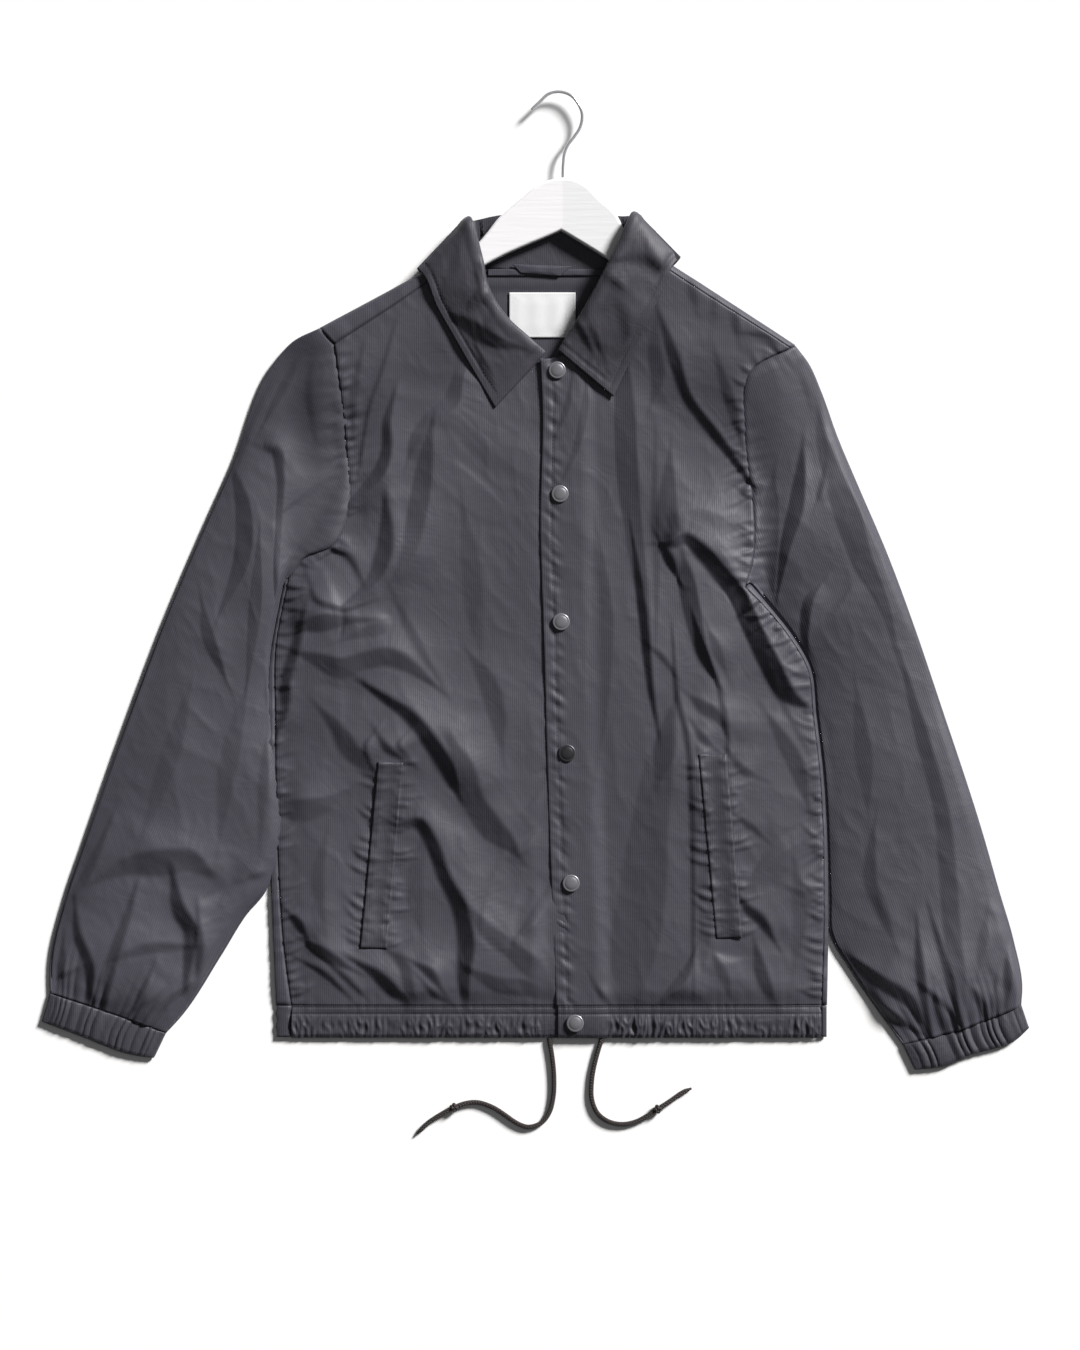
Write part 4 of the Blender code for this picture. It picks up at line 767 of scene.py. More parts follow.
# They run off to the line's left for way 1 and to its right for way -1.
def puckersAlong(points, kind, way, seed):
    gap, length, slope = (puckerLines[kind][part] for part in ("gap", "length", "slope"))
    draw = random.Random(seed)
    route = smoothRoute(points, 160)
    run = np.gradient(route, axis=0)
    along = np.concatenate([[0.0], np.cumsum(np.linalg.norm(np.diff(route, axis=0), axis=1))])
    spot, rows = gap * draw.random(), []
    while spot < along[-1]:
        i = int(np.searchsorted(along, spot))
        ahead = run[min(i, len(run) - 1)]
        ahead = ahead / np.linalg.norm(ahead)
        off = way * np.array([-ahead[1], ahead[0]])
        lean = draw.uniform(*puckerLines["lean"])
        far = length * draw.uniform(*puckerLines["lengthShares"])
        start = route[min(i, len(route) - 1)] + puckerLines["off"] * off
        middle = start + 0.4 * far * (off + 0.5 * lean * ahead)
        end = start + far * (off + lean * ahead)
        half = draw.uniform(*puckerLines["half"])
        steep = slope * draw.uniform(*puckerLines["slopeShares"])
        rows.append((steep, [(*start, 0.7 * half), (*middle, half), (*end, 0.5)]))
        spot += gap * draw.choice(puckerLines["gapShares"])
    return rows


def puckersOf(side):
    if side not in frontPuckers:
        inward = -1 if side == "Right" else 1
        rows = puckersAlong(seams[f"side{side}"], "side", inward, 11)
        rows += puckersAlong(seams[f"armhole{side}"], "armhole", inward, 12)
        for number, (edge, way) in enumerate(zip(weltEdges[side], (1, -1))):
            rows += puckersAlong(edge, "weltInside", way, 13 + number)
            rows += puckersAlong(edge, "weltOutside", -way, 15 + number)
        frontPuckers[side] = rows
    return frontPuckers[side]


def softNoise(u, v, seed):
    return noise.noise((u, v, seed), noise_basis="PERLIN_NEW")


# Small sharp ridges that run together, as in cloth that was packed.
def crumpleField(x, y, size, height, seed=0.0):
    turnedX = (x.ravel() * 0.8 + y.ravel() * 0.6) / size
    turnedY = (y.ravel() * 0.8 - x.ravel() * 0.6) / (1.7 * size)
    levels = np.array([
        (1 - abs(softNoise(u, v, seed)) * 2.2) + 0.45 * (1 - abs(softNoise(2.3 * u, 2.3 * v, seed + 9)) * 2.2)
        for u, v in zip(turnedX.tolist(), turnedY.tolist())
    ])
    return height * (np.maximum(levels, 0) ** 2 - 0.7).reshape(x.shape)


# Wide soft swells, where the cloth lies loose.
def swellField(x, y, size, height, seed):
    flat = np.column_stack([x.ravel() / size, y.ravel() / (1.5 * size)])
    return height * np.array([softNoise(u, v, seed) for u, v in flat.tolist()]).reshape(x.shape)


# A sewn line pulls the cloth down and puckers it on both sides.
def seamField(x, y, points, dip, pucker, period, reach=13.0, seed=0.0):
    route = smoothRoute(points, 40)
    signed, along, _ = fromRoute(x, y, route)
    off = np.abs(signed)
    total = -dip * np.exp(-((off / 1.8) ** 2))
    near = off < 2.2 * reach
    spots = zip((along[near] / period).tolist(), (signed[near] / 26.0).tolist())
    levels = np.array([softNoise(u + 0.9 * v, 0.8 * v, seed) * 2.2 for u, v in spots])
    levels = 0.8 - 1.6 * np.abs(levels) ** 0.8
    vary = 0.6 + 0.4 * np.sin(along[near] / 37.0 + 2 * seed)
    fade = np.exp(-((off[near] / reach) ** 1.4)) * smoothStep(off[near], 0, 2.0)
    total[near] += pucker * vary * levels * fade
    return total


# The hanger's shoulders as y for each x, and the body's sides as x for each y.
bodyLines = {
    "shoulderRight": ([-216, -77, 0], [660, 737, 780]),
    "shoulderLeft": ([0, 77, 226], [780, 740, 644]),
    "sideRight": ([30, 175, 361, 427, 458, 491, 644], [-243, -256, -258, -246, -206, -192, -202]),
    "sideLeft": ([30, 249, 343, 395, 420, 500, 641], [251, 248, 235, 199, 180, 187, 221]),
}


def hangerShare(x, y):
    rightLine = np.interp(x, *bodyLines["shoulderRight"])
    leftLine = np.interp(x, *bodyLines["shoulderLeft"])
    below = np.where(x < 0, rightLine, leftLine) - y
    pastEnd = smoothStep(np.abs(x), frontSet["armEnd"], frontSet["armEnd"] + 45)
    cover = frontSet["armCover"]
    return (1 - smoothStep(below, cover, cover + frontSet["armSlope"])) * (1 - 0.6 * pastEnd)


def restHeight(x, y):
    rightSide, leftSide = (np.interp(y, *bodyLines[line]) for line in ("sideRight", "sideLeft"))
    fromSide = np.minimum(x - rightSide, leftSide - x)
    share = hangerShare(x, y)
    puff = frontSet["puff"] * np.maximum(smoothStep(fromSide, 0, frontSet["puffIn"]), share)
    return frontSet["rest"] + puff + frontSet["armRise"] * share


def hemGather(x, phase):
    turns = hemSet["gathers"] * (x + 250) / 250 + 0.28 * np.sin(x / 9.0 + phase) + 0.2 * np.sin(x / 23.0)
    hump = np.abs(np.sin(math.pi * turns)) ** 0.75
    return (hump - 0.5) * (0.7 + 0.3 * np.sin(x / 13.0 + 2 * phase))


# The sewn lines of a front: shares of the seams' dip, pucker and period, and how far it reaches.
sewnLines = {
    "side": (1.0, 0.8, 1.0, 12.0), "armhole": (1.0, 1.0, 0.8, 15.0), "shoulder": (0.6, 0.4, 1.0, 10.0),
    "welt": (0.0, 0.55, 0.9, 9.0),
}


def sewnField(x, y, points, kind, seed):
    dip, pucker, period, reach = sewnLines[kind]
    return seamField(
        x, y, points, dip * frontSet["seamDip"], pucker * frontSet["seamPucker"],
        period * frontSet["seamPeriod"], reach, seed,
    )


def frontHeight(x, y, creases, side):
    share = hangerShare(x, y)
    folds = creaseField(x, y, creases)
    underCollar, _, _ = fromRoute(x, y, smoothRoute(seams[f"collarEdge{side}"], 20))
    underCollar = underCollar if side == "Left" else -underCollar
    frontEdges = np.interp(x, [-53, -5, 5, 57], [586, 637, 639, 596])
    shown = 1 - smoothStep(np.minimum(underCollar, y - frontEdges), -2, 14)
    byPlacket = smoothStep(np.abs(x - 14), 16, 34)
    fromHem = 0.25 + 0.75 * smoothStep(y, 26, 46)
    folds = folds * (0.5 + 0.5 * byPlacket) * (1 - 0.35 * share) * fromHem * shown
    seed = 2.0 if side == "Left" else 7.0
    small = crumpleField(x, y, frontSet["crumpleSize"], frontSet["crumple"], seed) * shown
    swell = swellField(x, y, frontSet["swellSize"], frontSet["swell"], seed)
    small += swell * shown * byPlacket * (1 - 0.6 * share)
    sewn = np.zeros(x.shape)
    for number, kind in enumerate(("side", "armhole", "shoulder")):
        sewn += sewnField(x, y, seams[f"{kind}{side}"], kind, seed + number)
    for edge in weltEdges[side]:
        sewn += sewnField(x, y, edge, "welt", seed + 3)
    sewn += creaseField(x, y, puckersOf(side), puckerSet) * shown
    hemNear = np.exp(-(((y - 30) / 24.0) ** 2))
    sewn += frontSet["hemPucker"] * hemNear * hemGather(x, 1.0) * (0.35 + 0.65 * byPlacket)
    height = restHeight(x, y) + folds + small + sewn
    return np.maximum(height, frontSet["lowest"] + frontSet["armRise"] * share)


def rightTop(x, y):
    return frontHeight(x, y, rightFrontCreases, "Right")


def leftTop(x, y):
    underX = np.interp(y, [30, 309, 629], [38, 28, 22])
    lift = frontSet["placketLift"] * (1 - smoothStep(x, underX + 2, underX + 20))
    edge = np.interp(y, *np.array(seams["frontEdge"]).T[::-1])
    fromEdge = x - edge
    wave = np.sin(2 * math.pi * y / 12.5 + 1.5 * np.sin(y / 21.0)) * (0.6 + 0.4 * np.sin(y / 43.0))
    off = fromEdge - frontSet["placketStitch"]
    near = np.exp(-((off / 7.0) ** 2))
    knots = [softNoise(v / 6.5 + u / 9.0, u / 17.0, 3.3) for u, v in zip(fromEdge.ravel(), y.ravel())]
    wave = 0.35 * wave + 1.6 * np.array(knots).reshape(x.shape)
    stitched = frontSet["placketPucker"] * wave * near - 0.6 * np.exp(-((off / 1.2) ** 2))
    return frontHeight(x, y, leftFrontCreases, "Left") + lift + stitched


# Rows between two side lines, with the shapes of the lines at the bottom and the top fading into
# the panel; a higher bend keeps a line's shape nearer to it.
def panelGrid(left, right, low, high, lowBend=1.0, highBend=1.0):
    rows, columns = len(left), len(low)
    up = np.linspace(0, 1, rows)[:, None, None]
    over = np.linspace(0, 1, columns)[None, :, None]
    lowShape = low - (low[0] + (low[-1] - low[0]) * over[0])
    highShape = high - (high[0] + (high[-1] - high[0]) * over[0])
    lowBend = np.broadcast_to(lowBend, columns)[None, :, None]
    body = left[:, None] * (1 - over) + right[:, None] * over
    return body + lowShape[None] * (1 - up) ** lowBend + highShape[None] * up**highBend


def withHeight(flat, height):
    return np.dstack([flat, height(flat[..., 0], flat[..., 1])])


def sewnLine(first, second):
    return np.vstack([
        smoothRoute(seams[first], frontSet["sideRows"] + 1)[:-1],
        smoothRoute(seams[second], frontSet["armholeRows"] + 1),
    ])


def addFronts():
    columns = frontSet["columns"]
    seamColumns = int(columns * frontSet["shoulderShare"])
    side = sewnLine("sideRight", "armholeRight")
    edge = smoothRoute(seams["underEdge"], len(side))
    top = np.vstack([
        smoothRoute(seams["shoulderRight"], seamColumns),
        smoothRoute(seams["necklineRight"], columns - seamColumns + 1)[1:],
    ])
    low = spreadAlong([side[0], edge[0]], columns - 1)
    right = withHeight(panelGrid(side, edge, low, top, 1.0, 3.0), rightTop)
    piece = addCloth("frontRight", [right], "body", ["front_right"], frontSet["cloth"])

    side = sewnLine("sideLeft", "armholeLeft")
    edge = smoothRoute(seams["frontEdge"], len(side))
    top = np.vstack([
        smoothRoute(seams["necklineLeft"], columns - seamColumns + 1)[:-1],
        smoothRoute(seams["shoulderLeft"][::-1], seamColumns),
    ])
    low = spreadAlong([edge[0], side[0]], columns - 1)
    left = withHeight(panelGrid(edge, side, low, top, 1.0, 3.0), leftTop)
    radius = frontSet["placketTurn"]
    first = left[:, 0]
    turn = [first + np.array([inward, 0, -2 * radius]) for inward in frontSet["facing"]]
    for angle in (180, 150, 120, 90, 60, 30):
        bend = math.radians(angle)
        turn.append(first + np.array([-radius * math.sin(bend), 0, -radius * (1 - math.cos(bend))]))
    left = np.concatenate([np.array(turn).transpose(1, 0, 2), left], axis=1)
    piece = addCloth("frontLeft", [left], "body", ["front_left"], frontSet["cloth"])


addFronts()
print("fronts laid")

backSet = {
    "cloth": 0.7, "floorWall": 0.6, "neckLift": 1.8, "ramp": 9.0, "tuck": 0.5,
    "shoulderColumns": 50, "neckColumns": 34, "yokeRows": 22, "sideRows": 100, "holeRows": 55,
}


def backHeight(x, y):
    ramp = np.clip((y - np.interp(x, *np.array(seams["liftLine"], float).T)) / backSet["ramp"] + 1, 0.0, 1.0)
    lift = backSet["neckLift"] * smoothStep(ramp, 0, 1) * (1 - smoothStep(np.abs(x), 134, 158))
    tuck = backSet["tuck"] * np.maximum(np.sin(x / 31.0 + 1.3 * np.sin(y / 90.0)) - 0.55, 0) * (1 - ramp)
    return backSet["floorWall"] + lift + tuck


# Rows of points from the floor, round an edge, and back in to the seam on top.
def turnedEdge(outline, seam, seamHeight, startHeight):
    highs = seamHeight(seam[:, 0], seam[:, 1])
    starts = startHeight(outline[:, 0], outline[:, 1])
    rows = []
    for (x, y), (seamX, seamY), high, start in zip(outline, seam, highs, starts):
        inward = np.array([seamX - x, seamY - y])
        width = max(np.linalg.norm(inward), 0.01)
        inward = inward / width
        reach = min((high - start) / 2, 0.85 * width)
        low = float(startHeight(np.array([x + inward[0] * reach]), np.array([y + inward[1] * reach]))[0])
        radius = (high - low) / 2
        row = []
        for angle in (-90, -65, -40, -15, 10, 35, 60, 80):
            bend = math.radians(angle)
            across = reach * (1 - math.cos(bend))
            row.append((x + inward[0] * across, y + inward[1] * across, low + radius * (1 + math.sin(bend))))
        last = np.array(row[-1])
        goal = np.array([seamX, seamY, high])
        for share in (0.33, 0.66):
            spot = last + (goal - last) * share
            row.append((spot[0], spot[1], spot[2] + 0.35 * math.sin(math.pi * share)))
        row.append(tuple(goal))
        rows.append(row)
    return np.array(rows)


def addBack():
    rows = backSet["sideRows"]
    sides = {}
    for side, top in (("Right", rightTop), ("Left", leftTop)):
        outline = smoothRoute(seams[f"sideOutline{side}"], rows)
        sides[f"turn{side}"] = turnedEdge(outline, smoothRoute(seams[f"side{side}"], rows), top, backHeight)
        shoulder = smoothRoute(seams[f"shoulderOutline{side}"], backSet["shoulderColumns"])
        seam = smoothRoute(seams[f"shoulder{side}"], backSet["shoulderColumns"])
        sides[f"over{side}"] = turnedEdge(shoulder, seam, top, backHeight)
        sides[f"hole{side}"] = smoothRoute(seams[f"armhole{side}"], backSet["holeRows"])[1:-1]
    neck = smoothRoute(seams["backNeckline"], backSet["neckColumns"])[1:-1]
    top = np.vstack([sides["overRight"][:, 0, :2], neck, sides["overLeft"][::-1, 0, :2]])
    share = ((top[:, 0] - top[0, 0]) / (top[-1, 0] - top[0, 0]))[None, :, None]
    right = np.vstack([sides["turnRight"][:, 0, :2], sides["holeRight"]])
    left = np.vstack([sides["turnLeft"][:, 0, :2], sides["holeLeft"]])
    core = right[:, None] * (1 - share) + left[:, None] * share
    up = np.linspace(0, 1, backSet["yokeRows"])[1:, None, None]
    yoke = core[-1][None] * (1 - up) + top[None] * up
    flat = np.concatenate([core, yoke])
    grids = [withHeight(flat, backHeight)]
    grids += [sides[name] for name in ("turnRight", "turnLeft", "overRight", "overLeft")]
    piece = addCloth("backPanel", grids, "back", ["back_panel"], backSet["cloth"], weld=True)


addBack()
print("back laid")

rightSleeveCreases = [
    (0.40, [(-232, 640, 1), (-250, 605, 4), (-268, 572, 1)]),
    (0.30, [(-222, 632, 1), (-226, 600, 4), (-222, 566, 1)]),
    (0.45, [(-269, 549, 1), (-257, 545, 5), (-253, 526, 4), (-254, 480, 3), (-256, 430, 3), (-254, 378, 1)]),
    (0.30, [(-199, 526, 1), (-222, 510, 3.5), (-251, 489, 1)]),
    (0.36, [(-197, 518, 1), (-207, 494, 6), (-222, 467, 6), (-246, 446, 1)]),
    (0.30, [(-300, 536, 1), (-288, 497, 7), (-288, 449, 8), (-310, 392, 1)]),
    (0.30, [(-326, 406, 1), (-319, 371, 6), (-303, 332, 1)]),
    (0.25, [(-272, 470, 1), (-276, 400, 6), (-284, 330, 1)]),
    (0.55, [(-412, 200, 1), (-422, 176, 3), (-438, 145, 4), (-452, 130, 2)]),
    (0.30, [(-424, 146, 2), (-397, 159, 8), (-362, 163, 13), (-335, 164, 10), (-320, 154, 4)]),
    (0.50, [(-444, 126, 1), (-441, 95, 4), (-431, 70, 5), (-429, 40, 3)]),
    (0.40, [(-388, 138, 2), (-396, 110, 4), (-405, 84, 5), (-411, 60, 5), (-417, 30, 3)]),
    (0.55, [(-352, 146, 3), (-347, 120, 7), (-336, 100, 7), (-338, 77, 5), (-340, 56, 3)]),
    (0.50, [(-329, 117, 1), (-327, 85, 4), (-329, 54, 2)]),
    (0.34, [(-408, 73, 1), (-379, 83, 5), (-340, 85, 2)]),
    (0.75, [(-323, 53, 1), (-345, 43, 2.5), (-363, 29, 3), (-378, 10, 2)]),
    (0.50, [(-442, 64, 1), (-450, 60, 2), (-460, 56, 1)]),
    (0.45, [(-455, 92, 1), (-456, 70, 3), (-460, 46, 1)]),
    (0.45, [(-282, 148, 1), (-274, 151, 3), (-264, 153, 1)]),
    (0.16, [(-282, 164, 1), (-297, 142, 5), (-313, 120, 1)]),
    (0.16, [(-336, 330, 1), (-356, 260, 9), (-382, 186, 1)]),
    (0.16, [(-284, 330, 1), (-300, 260, 9), (-310, 180, 1)]),
    (0.40, [(-372, 64, 1), (-380, 44, 4), (-388, 22, 2)]),
    (0.40, [(-356, 50, 1), (-366, 40, 2), (-392, 24, 1)]),
    (0.20, [(-262, 300, 1), (-268, 240, 5), (-272, 180, 1)]),
]
leftSleeveCreases = [
    (0.22, [(250, 600, 2), (256, 550, 10), (270, 503, 13), (287, 447, 10), (309, 400, 5), (322, 352, 1)]),
    (0.50, [(233, 552, 1), (230, 520, 5), (226, 492, 7), (217, 458, 5), (210, 414, 1)]),
    (0.24, [(206, 520, 2), (203, 492, 8), (201, 458, 9), (206, 414, 1)]),
    (0.50, [(251, 424, 1), (240, 410, 4), (235, 380, 4), (237, 350, 1)]),
    (0.26, [(275, 416, 1), (262, 398, 4), (246, 381, 1)]),
    (0.36, [(252, 522, 1), (250, 511, 3), (245, 497, 1)]),
    (0.40, [(228, 630, 1), (233, 614, 3), (238, 596, 1)]),
    (0.26, [(324, 356, 1), (344, 280, 6), (362, 210, 7), (368, 150, 8), (372, 92, 8), (377, 53, 7),
            (379, 12, 3)]),
    (0.24, [(300, 200, 1), (296, 168, 5), (296, 145, 6), (305, 122, 6), (318, 88, 1)]),
    (0.48, [(276, 76, 2), (292, 62, 5), (308, 51, 6), (330, 36, 6), (346, 12, 1)]),
    (0.58, [(298, 32, 3), (316, 20, 5), (337, 8, 1)]),
    (0.58, [(339, 102, 1), (341, 67, 4), (346, 30, 3), (353, 0, 2)]),
    (0.50, [(351, 118, 1), (363, 76, 3), (372, 42, 4), (376, 11, 3)]),
    (0.50, [(344, 48, 1), (362, 33, 2.5), (376, 18, 1)]),
    (0.42, [(386, 50, 1), (391, 42, 4), (400, 30, 4), (406, 14, 2)]),
    (0.52, [(427, 94, 1), (424, 62, 5), (422, 34, 2)]),
    (0.22, [(404, 116, 1), (400, 92, 5), (395, 62, 1)]),
    (0.45, [(412, 52, 1), (410, 40, 3), (413, 22, 2)]),
    (0.14, [(282, 330, 1), (290, 260, 8), (294, 210, 1)]),
    (0.22, [(232, 628, 1), (244, 600, 4), (252, 566, 1)]),
    (0.40, [(355, 44, 1), (358, 26, 3), (364, 6, 2)]),
]

# Hand is 1 where the outer edge lies to the picture's left, and -1 where it lies to the right.
sleeveSet = {
    "cloth": 0.6, "rows": 260, "topColumns": 84, "lowColumns": 20, "innerEase": 1.5,
    "rest": 3.4, "puff": 4.6, "edgeTurn": 2.0, "seamGap": 0.7, "lap": 4.0, "floorWall": 0.6, "lowest": 2.6,
    "crumple": 0.28, "crumpleSize": 34.0, "swell": 2.6, "swellSize": 80.0,
    "seamDip": 0.3, "seamPucker": 1.6, "seamPeriod": 8.0, "seamReach": 15.0, "cuffRipple": 1.9,
    "lapDown": 2.2, "lapLowest": 1.3,
    "Right": {
        "outer": [(-216.6, 659.6), (-241, 648), (-258, 630), (-298, 535), (-328, 468), (-365, 380),
                  (-390, 314), (-436, 184), (-454, 131), (-468, 69), (-468, 41)],
        "inner": [(-249.6, 426), (-262.0, 361), (-262.2, 147), (-267, 136), (-285, 114), (-308, 77),
                  (-347, 18), (-360, 4)],
        "cuffSeam": [(-468, 41), (-437, 31), (-396, 17), (-360, 4)],
        "cuffEdge": [(-475, 15), (-436, 0), (-392, -16), (-371, -19)],
        "creases": rightSleeveCreases, "hand": 1,
    },
    "Left": {
        "outer": [(226.4, 643.2), (239, 627), (250, 603), (266, 559), (285, 514), (312, 451), (338, 381),
                  (361, 313), (403, 184), (416, 138), (430, 90), (438, 46), (437, 30)],
        "inner": [(184, 423.5), (203.8, 400.8), (225.8, 372.6), (240.8, 345.2), (246.6, 300), (252.6, 249),
                  (257.6, 130), (259, 96), (277, 64), (300, 30), (327, -7)],
        "cuffSeam": [(437, 30), (413, 20), (369, 4), (327, -7)],
        "cuffEdge": [(444, 9), (432, -2), (388, -17), (364, -27), (338, -30)],
        "creases": leftSleeveCreases, "hand": -1,
    },
}


# Where a line's points go when it is moved in at right angles to itself.
def movedIn(line, distance):
    run = np.gradient(line, axis=0)
    run = run / np.linalg.norm(run, axis=1)[:, None]
    return np.column_stack([run[:, 1], -run[:, 0]]) * distance


# Over the top from one edge to the other, and back along the floor.
def closedRing(top, bottom, firstOut, lastOut):
    arcs = []
    for end, outward, angles in ((0, firstOut, (-65, -35, 0, 35, 65)), (-1, lastOut, (65, 35, 0, -35, -65))):
        high, low = top[end], bottom[end]
        radius = (high[2] - low[2]) / 2
        arc = []
        for angle in angles:
            bend = math.radians(angle)
            spot = (high[:2] + low[:2]) / 2 + outward * math.cos(bend)
            arc.append((spot[0], spot[1], low[2] + radius * (1 + math.sin(bend))))
        arcs.append(arc)
    return np.array([*arcs[0], *top, *arcs[1], *bottom[::-1], arcs[0][0]])


cuffSet = {
    "cloth": 0.7, "gathers": 13, "ripple": 2.3, "puff": 1.2, "rest": 4.0,
    "rows": 22, "columns": 160, "lowColumns": 30,
}


def cuffGather(share, count, seed):
    turns = count * share + 0.5 * np.sin(9 * share + seed) + 0.3 * np.sin(23 * share + 2 * seed)
    tall = 0.72 + 0.28 * np.sin(17 * share + 3 * seed) * np.sin(41 * share + seed)
    return tall * np.abs(np.sin(math.pi * turns)) ** 0.7


def sleeveGrid(name):
    sleeve = sleeveSet[name]
    rows, columns, lowColumns = sleeveSet["rows"], sleeveSet["topColumns"], sleeveSet["lowColumns"]
    hand = sleeve["hand"]
    outer = smoothRoute(sleeve["outer"], rows)
    inner = smoothRoute(sleeve["inner"], rows, sleeveSet["innerEase"])
    layers = []
    for count in (columns, lowColumns):
        line = smoothRoute(seams[f"armhole{name}"], count - 1)
        line = (line + movedIn(line, -hand * sleeveSet["seamGap"]))[::-1]
        line = np.vstack([outer[0], line])
        line[-1] = inner[0]
        byArmpit = smoothStep(np.linspace(0.0, 1.0, count), 0.45, 0.8)
        cuff = smoothRoute(sleeve["cuffSeam"], count)
        layers.append(panelGrid(outer, inner, line, cuff, 12.0 + 24.0 * byArmpit, 2.0))
    top, bottom = layers
    outerOut = movedIn(outer, hand * sleeveSet["edgeTurn"])
    innerOut = movedIn(inner, -hand * sleeveSet["edgeTurn"])
    for line in (top, bottom):
        line[:, 0] -= outerOut
        line[:, -1] -= innerOut
    along = np.linspace(0, 1, rows)[:, None]
    share = np.linspace(0, 1, columns)[None]
    crown = 1 - np.abs(2 * share - 1) ** 2.6
    own = sleeveSet["rest"] + sleeveSet["puff"] * crown * smoothStep(1 - along, 0.0, 0.1)
    x, y = top[..., 0], top[..., 1]
    fade = smoothStep(crown, 0.0, 0.35) * np.ones_like(x)
    seed = 4.0 + hand
    creases = creaseField(x, y, sleeve["creases"])
    own = own + fade * creases
    crumple = crumpleField(x, y, sleeveSet["crumpleSize"], sleeveSet["crumple"], seed)
    own = own + (0.25 + 0.75 * fade) * crumple
    own = own + fade * swellField(x, y, sleeveSet["swellSize"], sleeveSet["swell"], seed)
    gather = cuffGather(share, cuffSet["gathers"], seed) - 0.5
    nearCuff = smoothStep(along, 0.90, 1.0)
    own = own + nearCuff * sleeveSet["cuffRipple"] * gather * smoothStep(crown, 0.05, 0.5)
    own = own - 1.2 * smoothStep(along, 0.975, 1.0) * crown
    byArmhole = 1 - smoothStep(along, 0.0, 0.13)
    dip, pucker, period = sleeveSet["seamDip"], sleeveSet["seamPucker"], sleeveSet["seamPeriod"]
    sewn = seamField(x, y, seams[f"armhole{name}"], dip, pucker, period, sleeveSet["seamReach"], seed)
    body = restHeight(x, y) + creaseField(x, y, rightFrontCreases if name == "Right" else leftFrontCreases)
    height = byArmhole * body + (1 - byArmhole) * own + sewn
    height = np.maximum(height + byArmhole * fade * 0.5 * creases, sleeveSet["lowest"])
    lowZ = np.full(bottom.shape[:2], sleeveSet["floorWall"])
    top = np.dstack([top, height])
    bottom = np.dstack([bottom, lowZ])
    rings = [closedRing(top[j], bottom[j], outerOut[j], innerOut[j]) for j in range(rows)]
    lap = rings[0].copy()
    lap[:, 0] += hand * sleeveSet["lap"]
    lap[:, 2] = np.maximum(lap[:, 2] - sleeveSet["lapDown"], sleeveSet["lapLowest"])
    return np.array([lap, *rings])


def cuffGrid(name):
    sleeve = sleeveSet[name]
    seed = 4.0 + sleeve["hand"]
    seam = smoothRoute(sleeve["cuffSeam"], cuffSet["columns"])
    edge = smoothRoute(sleeve["cuffEdge"], cuffSet["columns"])
    lowSeam = smoothRoute(sleeve["cuffSeam"], cuffSet["lowColumns"])
    lowEdge = smoothRoute(sleeve["cuffEdge"], cuffSet["lowColumns"])
    share = np.linspace(0, 1, cuffSet["columns"])
    crown = smoothStep(np.minimum(share, 1 - share), 0, 0.12)
    rings = []
    for up in np.linspace(0.0, 1.0, cuffSet["rows"]):
        slant = 0.018 * np.sin(5 * share + seed) * math.sin(math.pi * up)
        gather = cuffGather(share + slant, cuffSet["gathers"], seed)
        top = seam + (edge - seam) * up
        bottom = lowSeam + (lowEdge - lowSeam) * up
        over = (top[-1] - top[0]) / np.linalg.norm(top[-1] - top[0]) * sleeveSet["edgeTurn"]
        for line in (top, bottom):
            line[0] += over
            line[-1] -= over
        swell = math.sin(math.pi * up) ** 0.5
        ripple = cuffSet["ripple"] * (0.45 + 0.55 * swell)
        height = cuffSet["rest"] + crown * (ripple * (gather - 0.45) + cuffSet["puff"] * swell + 1.0)
        if up > 0.95:
            top = top - 0.4 * over / np.linalg.norm(over)
            height = height - 0.9 * crown
        lowZ = np.full(len(bottom), sleeveSet["floorWall"])
        topLine, lowLine = np.column_stack([top, height]), np.column_stack([bottom, lowZ])
        rings.append(closedRing(topLine, lowLine, -over, over))
    return np.array(rings)


def addSleeves():
    for name in ("Right", "Left"):
        nodes = [f"sleeve_{name.lower()}"]
        cloth = sleeveSet["cloth"]
        piece = addCloth(f"sleeve{name}", [sleeveGrid(name)], f"sleeve{name}", nodes, cloth, weld=True)
        nodes = [f"cuff_{name.lower()}"]
        piece = addCloth(f"cuff{name}", [cuffGrid(name)], "trim", nodes, cuffSet["cloth"], weld=True)


addSleeves()
print("sleeves laid")


